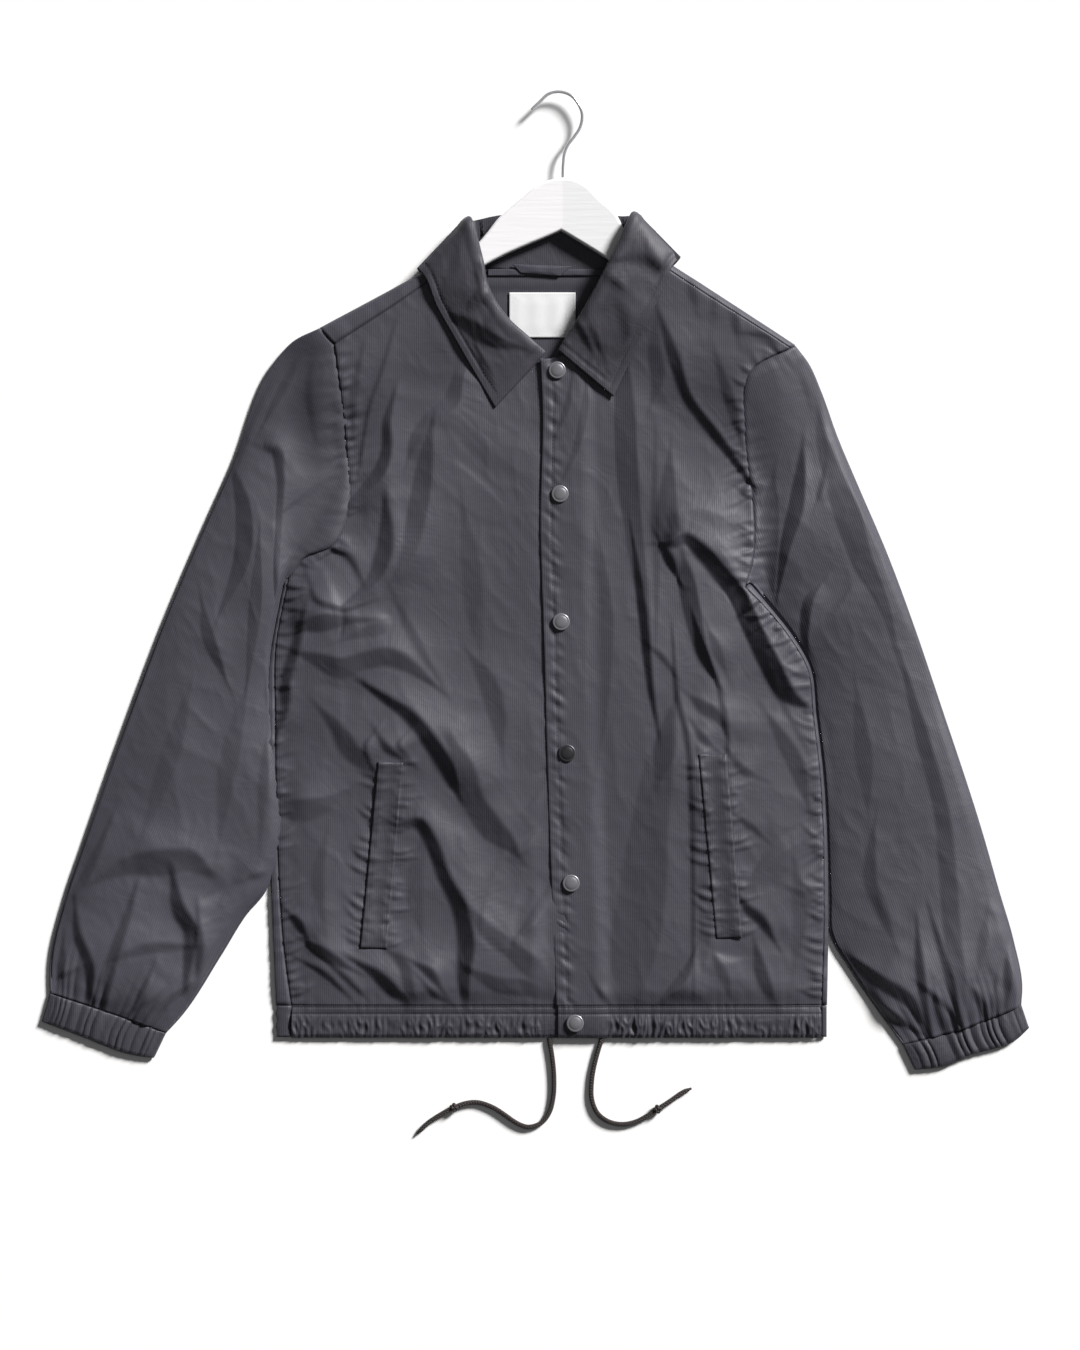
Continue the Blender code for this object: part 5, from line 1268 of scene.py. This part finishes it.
# The casing: down from the seam, round the hem's edge and a little way back under it.
def hemFront(fromX, toX, top):
    columns = hemSet["columns"]
    tall = hemSet["height"] - 1.0
    x = np.linspace(fromX, toX, columns)
    onPlacket = 1 - smoothStep(np.abs(x - 18), 22, 40)
    seam = top(x, np.full(columns, hemSet["height"]))
    base = seam * 0.25 + 0.75 * (frontSet["rest"] + 1.0)
    if top is leftTop:
        base = base + frontSet["placketLift"] * 0.75 * (1 - smoothStep(x, 40, 58))
    rows = []
    for share in np.linspace(0, 1, hemSet["rows"]):
        down = share * tall
        y = hemSet["height"] - down
        gather = hemGather(x + 3.0 * share * np.sin(x / 31.0), 1.0)
        lean = [0.5 * softNoise(u / 30.0, 0.0, 2.0) for u in x.tolist()]
        bunch = [softNoise(u / 6.0, share * 2.2 + v, 8.0) for u, v in zip(x.tolist(), lean)]
        gather = 0.45 * gather + 0.6 - 1.5 * np.abs(bunch)
        gather = gather * (0.35 + 1.5 * np.array([abs(softNoise(u / 52.0, 0.3, 4.0)) for u in x.tolist()]))
        lively = 0.08 + 0.92 * smoothStep(down, hemSet["stitchLower"] - 2, 20)
        lively = lively * hemSet["ripple"] * (1 - 0.75 * onPlacket)
        swell = hemSet["swell"] * math.sin(math.pi * share) ** 0.6
        z = base + lively * gather + swell
        z = z + (seam - z) * (1 - smoothStep(share, 0.0, 0.35))
        for row in (hemSet["stitchUpper"], hemSet["stitchLower"]):
            z = z - hemSet["stitchDip"] * np.exp(-(((down - row) / 0.9) ** 2))
        z = z - 0.9 * smoothStep(share, 0.93, 1.0)
        rows.append(np.column_stack([x, np.full(columns, y), z]))
    last = rows[-1]
    drop = (last[:, 2] - hemSet["edgeDown"]) / 2
    for angle in (40, 80, 120, 160):
        bend = math.radians(angle)
        z = last[:, 2] - drop * 0.5 * (1 - math.cos(bend))
        rows.append(np.column_stack([x, last[:, 1] - hemSet["edgeTurn"] * math.sin(bend), z]))
    return np.array(rows)


def addHems():
    for name, top, area in (("Right", rightTop, 0.0095), ("Left", leftTop, 0.0085)):
        fromX, toX = hemSet["fronts"][name]
        nodes = [f"hem_front_{name.lower()}"]
        piece = addCloth(f"hemFront{name}", [hemFront(fromX, toX, top)], "trim", nodes, hemSet["cloth"])
    upward = np.linspace(0.6, 29.6, 16)
    ends, turnIn = hemSet["backEnds"], hemSet["turnIn"]
    outlineRight = np.column_stack([0.6 * np.sin(np.arange(16)) + ends["Right"], upward])
    outlineLeft = np.column_stack([np.full(16, ends["Left"]), upward])

    def sideTop(x, y):
        return restHeight(x, y) + 0.5

    seamRight = outlineRight + np.array([turnIn["Right"], 0])
    seamLeft = outlineLeft - np.array([turnIn["Left"], 0])
    turnRight = turnedEdge(outlineRight, seamRight, sideTop, backHeight)
    turnLeft = turnedEdge(outlineLeft, seamLeft, sideTop, backHeight)
    share = np.linspace(0, 1, hemSet["backColumns"])[None, :, None]
    flat = turnRight[:, :1, :2] * (1 - share) + turnLeft[:, :1, :2] * share
    grids = [withHeight(flat, backHeight), turnRight, turnLeft]
    piece = addCloth("hemBack", grids, "trim", ["hem_back"], hemSet["cloth"], weld=True)


addHems()
print("hems gathered")

# The collar from its front end to the shoulder. A station has its neck seam, its fold, its outer
# edge, each as x and y, and how high the fold stands above the seam.
collarSet = {
    "cloth": 1.0, "seamUp": 1.5, "edgeUp": 1.2, "gap": 1.7, "standGap": 1.8, "rollGap": 5.0,
    "lowest": 0.7, "overFront": 1.1, "foldTop": 20.0, "edgeTop": 18.5, "turnDepth": 6.5,
    "backFold": (766.0, 1.5), "backEdge": (706.0, 0.6), "backSeamUp": 2.4,
    "acrossStand": 2, "acrossFall": 5, "fineStations": 9, "fineAcross": 8,
    "crumple": 0.25, "crumpleSize": 18.0, "stitchIn": 7.5, "stitchDip": 0.8, "stitchPucker": 0.28,
    "Right": [
        (-9, 635, -5.5, 637.5, -53, 586, 2.0), (-26, 647, -22, 652, -63, 603, 2.6),
        (-46, 664, -41, 669, -76, 625, 3.2), (-66, 695, -59, 698, -91, 651, 3.6),
        (-75, 719, -64, 722, -106, 677, 3.8),
    ],
    "Left": [
        (10, 637, 5.6, 639, 57, 596, 2.0), (20, 649, 13.5, 652, 65, 613, 2.6),
        (33, 664, 24.5, 669, 75, 635, 3.2), (58, 701, 45, 706, 91, 670, 3.6),
        (71, 722, 57, 729, 104, 697, 3.8),
    ],
    "peakRight": {"fold": (-76.5, 762.5), "edge": (-125, 714.5)},
    "peakLeft": {"fold": (75, 767), "edge": (119, 725)},
    "neckTurn": [(-71.5, 733, 2.4), (-75, 742, 4.2), (-76, 744, 9.0), (-76, 742, 13.6), (-78, 731, 16.6)],
}
collarCreases = [
    (0.55, [(-61, 698, 1), (-67, 693, 3), (-73, 685, 1)]),
    (0.55, [(-79, 675, 1), (-68, 682, 3), (-55, 690, 1)]),
    (0.50, [(-63, 660, 1), (-57, 669, 3), (-49, 680, 1)]),
    (0.36, [(-96, 672, 1), (-82, 664, 6), (-68, 655, 7), (-50, 646, 5), (-28, 641, 1)]),
    (0.30, [(-70, 642, 1), (-62, 622, 4), (-54, 602, 1)]),
    (0.25, [(-86, 738, 1), (-92, 712, 5), (-104, 692, 1)]),
    (0.30, [(-66, 728, 1), (-64, 712, 4), (-60, 700, 1)]),
    (0.36, [(50, 719, 1), (82, 723, 4), (110, 710, 1)]),
    (0.45, [(48, 708, 1), (58, 700, 3), (68, 692, 1)]),
    (0.45, [(22, 667, 1), (28, 655, 3), (36, 640, 1)]),
    (0.35, [(32, 668, 1), (38, 655, 3), (46, 636, 1)]),
    (0.24, [(84, 742, 1), (92, 722, 5), (104, 704, 1)]),
    (0.22, [(56, 690, 1), (66, 668, 5), (70, 640, 1)]),
]


def frontStation(row, under):
    seamX, seamY, foldX, foldY, edgeX, edgeY, stand = row
    seamZ = float(under(np.array([seamX]), np.array([seamY]))[0]) + collarSet["seamUp"]
    edgeZ = float(under(np.array([edgeX]), np.array([edgeY]))[0]) + collarSet["edgeUp"] + collarSet["gap"]
    return (seamX, seamY, seamZ), (foldX, foldY, seamZ + stand), (edgeX, edgeY, edgeZ)


# These carry the collar from the front, round the shoulder's edge and under it.
def turnStations(peak, neck, side):
    fold, edge = np.array(peak["fold"]), np.array(peak["edge"])
    run = edge - fold
    outward = np.array([run[1], -run[0]]) / np.linalg.norm(run) * (1 if side < 0 else -1)
    low, lowFold = backSet["floorWall"], collarSet["backFold"][1]
    stations = []
    for angle, (x, y, z) in zip((90, 45, 0, -45, -90), neck):
        rise = (1 + math.sin(math.radians(angle))) / 2
        comeIn = outward * collarSet["turnDepth"] * (1 - math.cos(math.radians(angle)))
        foldZ = lowFold + (collarSet["foldTop"] - lowFold) * rise
        edgeZ = low + (collarSet["edgeTop"] - low) * rise
        stations.append(((x, y, z), (*(fold - 0.3 * comeIn), foldZ), (*(edge - comeIn), edgeZ)))
    return stations


# More rows on smooth curves through the given ones.
def refined(grid, factor):
    flat = grid.reshape(len(grid), -1)
    return curveBetween(flat, np.arange(factor) / factor).reshape(-1, *grid.shape[1:])


def collarStations():
    right = [frontStation(row, restHeight) for row in collarSet["Right"]]
    right += turnStations(collarSet["peakRight"], collarSet["neckTurn"][::-1], -1)
    back = []
    for x in (-45.0, -15.0, 15.0, 45.0):
        seamY = np.interp(abs(x), [0, 30, 62], [712.6, 712.6, 716.6])
        seam = (x, seamY, collarSet["backSeamUp"])
        back.append((seam, (x, *collarSet["backFold"]), (x, *collarSet["backEdge"])))
    left = [frontStation(row, lambda x, y: restHeight(x, y) + 2.0) for row in collarSet["Left"]]
    mirrored = [(-x, y + 2.5, z) for x, y, z in collarSet["neckTurn"][::-1]]
    left += turnStations(collarSet["peakLeft"], mirrored, 1)
    return np.array(right + back + left[::-1], float)


# A row of points for each station: up the stand, round the fold and down the fall.
def collarRows(stations):
    count = len(stations)
    front = len(collarSet["Right"])
    rows = []
    for k in range(count):
        seam, fold, edge = (Vector(point) for point in stations[k])
        before, after = stations[max(k - 1, 0), 1], stations[min(k + 1, count - 1), 1]
        tangent = (Vector(after) - Vector(before)).normalized()
        toward = fold - (seam + edge) / 2
        toward = (toward - tangent * toward.dot(tangent)).normalized()
        outward = toward.cross(tangent).normalized()
        atBack = float(smoothStep(1 - min(1.0, abs(k - (count - 1) / 2) / 5.0), 0.1, 0.5))
        gap = collarSet["rollGap"] + (collarSet["standGap"] - collarSet["rollGap"]) * atBack
        if front <= k < count - front:
            gap = min(gap, 1.2 * (fold - seam).length)
        else:
            gap = min(gap, 1.5 * (fold.z - seam.z))
        radius = gap / 2
        centre = fold - toward * radius
        inner, outer = centre - outward * radius, centre + outward * radius
        stand, fall = collarSet["acrossStand"], collarSet["acrossFall"]
        row = [seam.lerp(inner, i / stand) for i in range(stand + 1)]
        for angle in (-40, 0, 40):
            bend = math.radians(angle)
            row.append(centre + toward * radius * math.cos(bend) + outward * radius * math.sin(bend))
        row.extend(outer.lerp(edge, i / fall) for i in range(fall + 1))
        rows.append([tuple(point) for point in row])
    return np.array(rows)


def collarGrid():
    grid = refined(collarRows(collarStations()), collarSet["fineStations"])
    grid = refined(grid.transpose(1, 0, 2), collarSet["fineAcross"]).transpose(1, 0, 2)
    x, y, z = grid[..., 0], grid[..., 1], grid[..., 2]
    onTop = smoothStep(z, 7, 12)
    fallColumn = (collarSet["acrossStand"] + 4) * collarSet["fineAcross"]
    under = np.where(x < 0, rightTop(x, y), leftTop(x, y))
    bump = creaseField(x, y, collarCreases)
    bump = bump + crumpleField(x, y, collarSet["crumpleSize"], collarSet["crumple"], 5.0)
    ends = [np.linalg.norm(grid - line, axis=2) for line in (grid[:, -1:], grid[:1], grid[-1:])]
    rim = np.minimum(ends[0], np.minimum(ends[1], ends[2]))
    off = rim - collarSet["stitchIn"]
    wave = np.sin((x - y) / 2.3 + 1.4 * np.sin((x + y) / 15.0))
    stitched = -collarSet["stitchDip"] * np.exp(-((off / 1.2) ** 2))
    stitched = stitched + collarSet["stitchPucker"] * wave * np.exp(-((off / 5.0) ** 2))
    change = onTop * (bump * smoothStep(rim, 2, 12) + stitched)
    change[:, :fallColumn] *= np.linspace(0, 1, fallColumn)[None] ** 2
    grid[..., 2] = np.maximum(z + change, collarSet["lowest"])
    fall = grid[:, fallColumn:]
    least = under[:, fallColumn:] + collarSet["overFront"]
    fronts = onTop[:, fallColumn:] > 0.5
    fall[..., 2] = np.where(fronts, np.maximum(fall[..., 2], least), fall[..., 2])
    return grid


collarPoints = collarGrid()
collar = addCloth("foldedCollar", [collarPoints], "collar", ["collar"], collarSet["cloth"])
print("collar folded")

# Across is a welt's width and tall its height. OpenSide is 1 where its right edge opens.
weltSet = {
    "thick": 0.8, "lift": 1.0, "least": 0.6, "rows": 90, "columns": 16, "across": 24, "tall": 174,
    "pucker": 0.35, "stitchIn": 3.0, "stitchDip": 0.4, "gape": 1.5, "openSide": {"Right": -1, "Left": 1},
}


# Points between four corners, the lower two first, as (rows, columns, 2), and their shares.
def cornerGrid(low, high, rows, columns):
    up = np.linspace(0, 1, rows)[:, None, None]
    over = np.linspace(0, 1, columns)[None, :, None]
    low, high = np.array(low, float), np.array(high, float)
    flat = (low[0] * (1 - over) + low[1] * over) * (1 - up) + (high[0] * (1 - over) + high[1] * over) * up
    return flat, up, over


def addWelts():
    for name, top in (("Right", rightTop), ("Left", leftTop)):
        low, high = zip(*weltEdges[name])
        flat, up, over = cornerGrid(low, high, weltSet["rows"], weltSet["columns"])
        x, y = flat[..., 0], flat[..., 1]
        share = over[..., 0] * np.ones_like(x)
        carried = top(x, y)
        smooth = carried.mean(axis=1, keepdims=True) * 0.5 + carried * 0.5
        fromEdge = np.minimum(share, 1 - share) * weltSet["across"]
        fromEnd = np.minimum(up[..., 0], 1 - up[..., 0]) * weltSet["tall"]
        rounded = 1 - np.exp(-np.minimum(fromEdge, fromEnd) / 1.2)
        off = fromEdge - weltSet["stitchIn"]
        wave = np.sin(y / 1.9 + 1.5 * np.sin(y / 11.0)) * np.exp(-((off / 3.5) ** 2))
        towardOpening = share if weltSet["openSide"][name] > 0 else 1 - share
        z = smooth + weltSet["lift"] - 1.0 + rounded + weltSet["pucker"] * wave
        z = z + weltSet["gape"] * smoothStep(towardOpening, 0.35, 1.0)
        z = z - weltSet["stitchDip"] * np.exp(-((off / 0.9) ** 2))
        grid = np.dstack([flat, np.maximum(z, carried + weltSet["least"])])
        piece = addCloth(f"welt{name}", [grid], "trim", [f"welt_{name.lower()}"], weltSet["thick"])


addWelts()
print("welts laid")

# Tape, loop and label: two lower and two upper corners, and how high each lies on the back.
neckSet = {
    "tape": {
        "low": [(-60, 709.5), (50, 709.5)], "high": [(-60, 715.5), (50, 715.5)], "rows": 10, "columns": 90,
        "lift": 1.4, "swell": 0.4, "cloth": 0.7},
    "loop": {
        "low": [(-29, 712), (7.5, 709)], "high": [(-37, 720), (17.5, 718)], "rows": 12, "columns": 50,
        "lift": 2.7, "swell": 0.8, "cloth": 0.9},
    "label": {
        "low": [(-40, 652), (22, 652)], "high": [(-40, 694), (22, 694)], "rows": 36, "columns": 50,
        "lift": 1.4, "swell": 0.35, "cloth": 0.7},
}


def stripGrid(strip):
    flat, up, over = cornerGrid(strip["low"], strip["high"], strip["rows"], strip["columns"])
    z = backHeight(flat[..., 0], flat[..., 1]) + strip["lift"]
    rim = np.minimum(np.minimum(over, 1 - over), np.minimum(up, 1 - up))[..., 0]
    z = z + strip["swell"] * smoothStep(rim, 0, 0.3)
    z = z + 0.15 * np.sin(flat[..., 0] / 3.1) * smoothStep(rim, 0, 0.2)
    return np.dstack([flat, z])


def addNeckTrim():
    tape, loop, label = neckSet["tape"], neckSet["loop"], neckSet["label"]
    piece = addCloth("neckTape", [stripGrid(tape)], "inner", ["neck_tape"], tape["cloth"])
    piece = addCloth("hangerLoop", [stripGrid(loop)], "inner", ["hanger_loop"], loop["cloth"])
    piece = addCloth("neckLabel", [stripGrid(label)], "label", ["neck_label"], label["cloth"])


addNeckTrim()
print("neck trimmed")


# A round piece from the (radius, height) points of its profile.
def turnedMesh(name, profile, sides=48):
    mesh = bpy.data.meshes.new(name)
    shell = bmesh.new()
    rings = []
    for radius, height in profile:
        ring = []
        for k in range(sides):
            turn = 2 * math.pi * k / sides
            spot = (radius * math.cos(turn) / 1000, radius * math.sin(turn) / 1000, height / 1000)
            ring.append(shell.verts.new(spot))
        rings.append(ring)
    for lower, upper in zip(rings, rings[1:]):
        for k in range(sides):
            near = (k + 1) % sides
            shell.faces.new((lower[k], lower[near], upper[near], upper[k]))
    shell.faces.new(rings[0][::-1])
    shell.faces.new(rings[-1])
    shell.to_mesh(mesh)
    shell.free()
    mesh.shade_smooth()
    return mesh


snapSet = {
    "centres": [(4.7, 621), (7.4, 506), (8.4, 387), (13.9, 265), (17.7, 144), (21.4, 14)],
    "dark": 4, "lift": 0.0002,
    "profile": [
        (7.6, -0.5), (8.0, 0.1), (8.0, 0.9), (7.8, 1.2), (7.4, 1.4), (6.9, 1.5), (6.5, 1.45), (6.2, 1.4),
        (5.9, 1.5), (5.2, 1.8), (4.0, 2.1), (2.4, 2.3), (0.6, 2.4),
    ],
}


def addSnaps():
    for number, (x, y) in enumerate(snapSet["centres"], start=1):
        finish = "darkSnap" if number == snapSet["dark"] else "snap"
        cap = turnedMesh("snap", snapSet["profile"])
        piece = addPiece(f"snap{number}", cap, finish, [f"snap_{number}"])
        low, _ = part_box(f"snap_{number}")
        piece.location = (*toFrame([(x, y)])[0], low[2] + snapSet["lift"])


addSnaps()
print("snaps set")

hangerSet = {
    "bottom": 3.4, "thick": 10.5, "bevel": 2.6, "wire": 3.2,
    "top": [
        (-194, 650), (-189, 662), (-160, 681), (-122, 701), (-82, 727), (-67, 741), (-59.5, 750), (-50, 762),
        (-41, 770), (-28, 781), (-12, 793.5), (0, 798), (10, 799), (20, 798), (30, 793.5), (44, 780),
        (58.5, 767), (67, 751), (70, 742), (82, 728), (115, 705), (160, 676), (189, 657), (194, 645)],
    "under": [
        [(189, 633), (160, 652), (115, 680), (54, 722.5), (8.5, 750.5)],
        [(8.5, 750.5), (-61, 719), (-122, 674), (-189, 638)]],
    "hook": [
        (-19.5, 863), (-11, 871), (-4, 877.5), (6.5, 880), (16.7, 877), (24.2, 869), (28, 859), (26, 846.5),
        (21, 838.5), (15, 830.5), (11.8, 823), (10.4, 812), (10, 799.4)],
}


def addHanger():
    first, second = (smoothRoute(run, 40) for run in hangerSet["under"])
    outline = [*smoothRoute(hangerSet["top"], 120), *first[:-1], *second]
    mesh = bpy.data.meshes.new("hangerWood")
    shell = bmesh.new()
    spots = toFrame([(x, y, hangerSet["bottom"]) for x, y in outline])
    face = shell.faces.new([shell.verts.new(spot) for spot in spots])
    raised = bmesh.ops.extrude_face_region(shell, geom=[face])
    moved = [item for item in raised["geom"] if isinstance(item, bmesh.types.BMVert)]
    bmesh.ops.translate(shell, verts=moved, vec=(0, 0, hangerSet["thick"] / 1000))
    bmesh.ops.recalc_face_normals(shell, faces=shell.faces)
    shell.to_mesh(mesh)
    shell.free()
    mesh.shade_smooth()
    wood = addPiece("hangerWood", mesh, "wood", ["hanger_wood"])
    bevel = wood.modifiers.new("rounded edges", "BEVEL")
    bevel.width = hangerSet["bevel"] / 1000
    bevel.segments = 4
    bevel.limit_method = "ANGLE"
    bevel.angle_limit = math.radians(60)
    wood.modifiers.new("even shading", "WEIGHTED_NORMAL")
    middle = hangerSet["bottom"] + hangerSet["thick"] / 2
    route = smoothRoute([(x, y, middle) for x, y in hangerSet["hook"]], 120)
    radii = np.full(120, hangerSet["wire"] / 2)
    radii[:5] *= np.array([0.55, 0.8, 0.93, 0.98, 1.0])
    addPiece("hangerHook", tubeMesh("hangerHook", route, radii, 20), "chrome", ["hanger_hook"])


addHanger()
print("hanger in the neck")

stitchSet = {"pitch": 3.4, "length": 2.5, "width": 0.42, "above": 0.36, "endsDown": 0.3, "onCollar": 0.2}


# A short raised thread for each stitch along a line of points in space.
def stitchPoints(route):
    lengths = np.linalg.norm(np.diff(route, axis=0), axis=1)
    total = lengths.sum()
    even = spreadAlong(route, max(int(total / stitchSet["pitch"]), 1))
    half = stitchSet["width"] / 2
    up = np.array([0.0, 0.0, 1.0])
    points = []
    faces = []
    for start, end in zip(even[:-1], even[1:]):
        run = end - start
        run = run / np.linalg.norm(run)
        side = np.cross(run, up)
        side = side / np.linalg.norm(side)
        middle = (start + end) / 2 + up * stitchSet["above"]
        base = len(points)
        for share, fat in ((-0.5, 0.0), (-0.3, 1.0), (0.3, 1.0), (0.5, 0.0)):
            spot = middle + run * share * stitchSet["length"] - up * (stitchSet["endsDown"] * (1 - fat))
            if fat:
                points.extend([spot + side * half, spot + up * half, spot - side * half, spot - up * half])
            else:
                points.append(spot)
        first, tail = base, base + 9
        for i in range(4):
            near = (i + 1) % 4
            faces.append((first, base + 1 + near, base + 1 + i))
            faces.append((base + 1 + i, base + 1 + near, base + 5 + near, base + 5 + i))
            faces.append((tail, base + 5 + i, base + 5 + near))
    return points, faces


def addStitching(name, routes):
    points = []
    faces = []
    for route in routes:
        morePoints, moreFaces = stitchPoints(np.array(route, float))
        faces.extend(tuple(corner + len(points) for corner in face) for face in moreFaces)
        points.extend(morePoints)
    mesh = bpy.data.meshes.new(name)
    mesh.from_pydata(toFrame(points).tolist(), [], faces)
    mesh.shade_smooth()
    addPiece(name, mesh, "thread")


def addAllStitching():
    flat = smoothRoute([(x + frontSet["placketStitch"], y) for x, y in seams["frontEdge"]], 300)
    addStitching("frontStitching", [np.column_stack([flat, leftTop(flat[:, 0], flat[:, 1])])])
    routes = []
    for name, top in (("Right", rightTop), ("Left", leftTop)):
        grid = hemFront(*hemSet["stitched"][name], top)
        for row in (hemSet["stitchUpper"], hemSet["stitchLower"]):
            routes.append(grid[int(round(row / (hemSet["height"] - 1) * (hemSet["rows"] - 1)))])
    addStitching("hemStitching", routes)
    routes = []
    across = np.linalg.norm(collarPoints[20, -1] - collarPoints[20, -2])
    sewn = collarPoints[:, -1 - int(round(collarSet["stitchIn"] / across))]
    shown = [k for k in range(4, len(sewn) - 4) if sewn[k, 2] > 8]
    for part in (shown[: len(shown) // 2], shown[len(shown) // 2 :]):
        routes.append(sewn[part] + np.array([0, 0, stitchSet["onCollar"]]))
    addStitching("collarStitching", routes)


addAllStitching()
print("stitching sewn")

floorSet = {
    "color": (0.90, 0.90, 0.90, 1), "paler": (0.92, 0.92, 0.92, 1), "roughness": 0.85, "size": 4.0,
    "below": 0.0006,
}


def addFloor():
    mesh = bpy.data.meshes.new("floor")
    half = floorSet["size"] / 2
    corners = [(-half, -half, 0), (half, -half, 0), (half, half, 0), (-half, half, 0)]
    mesh.from_pydata(corners, [], [(0, 1, 2, 3)])
    floor = bpy.data.objects.new("floor", mesh)
    floor.location.z = -floorSet["below"]
    material, tree, shader = startMaterial("paleFloor")
    shade = mixColors(tree, noiseNode(tree, None, 8.0), floorSet["color"], floorSet["paler"])
    feed(tree, shader.inputs["Base Color"], shade)
    shader.inputs["Roughness"].default_value = floorSet["roughness"]
    mesh.materials.append(material)
    bpy.context.scene.collection.objects.link(floor)


addFloor()
print("floor down")

# Lights: where each stands, how wide it is (degrees for the key, metres for the others), its power.
lightSet = {
    "key": {"kind": "SUN", "at": (1.5, 1.45, 1.15), "size": 14.0, "power": 6.7, "color": (1.0, 0.99, 0.98)},
    "fill": {"kind": "AREA", "at": (-1.5, 0.2, 2.0), "size": 2.0, "power": 1.3, "color": (0.96, 0.97, 1.0)},
    "above": {"kind": "AREA", "at": (0.3, -0.2, 2.9), "size": 2.2, "power": 4.8, "color": (1.0, 1.0, 1.0)},
    "room": {"power": 0.04, "color": (0.98, 0.98, 1.0, 1)},
}


def addLights():
    for name in ("key", "fill", "above"):
        light = lightSet[name]
        data = bpy.data.lights.new(name, light["kind"])
        if light["kind"] == "SUN":
            data.angle = math.radians(light["size"])
        else:
            data.size = light["size"]
        data.energy = light["power"]
        data.color = light["color"]
        lamp = bpy.data.objects.new(name, data)
        lamp.location = light["at"]
        lamp.rotation_euler = (-Vector(light["at"])).to_track_quat("-Z", "Y").to_euler()
        bpy.context.scene.collection.objects.link(lamp)
    world = bpy.data.worlds.new("room")
    world.use_nodes = True
    background = world.node_tree.nodes["Background"]
    background.inputs["Color"].default_value = lightSet["room"]["color"]
    background.inputs["Strength"].default_value = lightSet["room"]["power"]
    bpy.context.scene.world = world
    bpy.context.scene.view_settings.view_transform = "Standard"


addLights()
print("lights on")
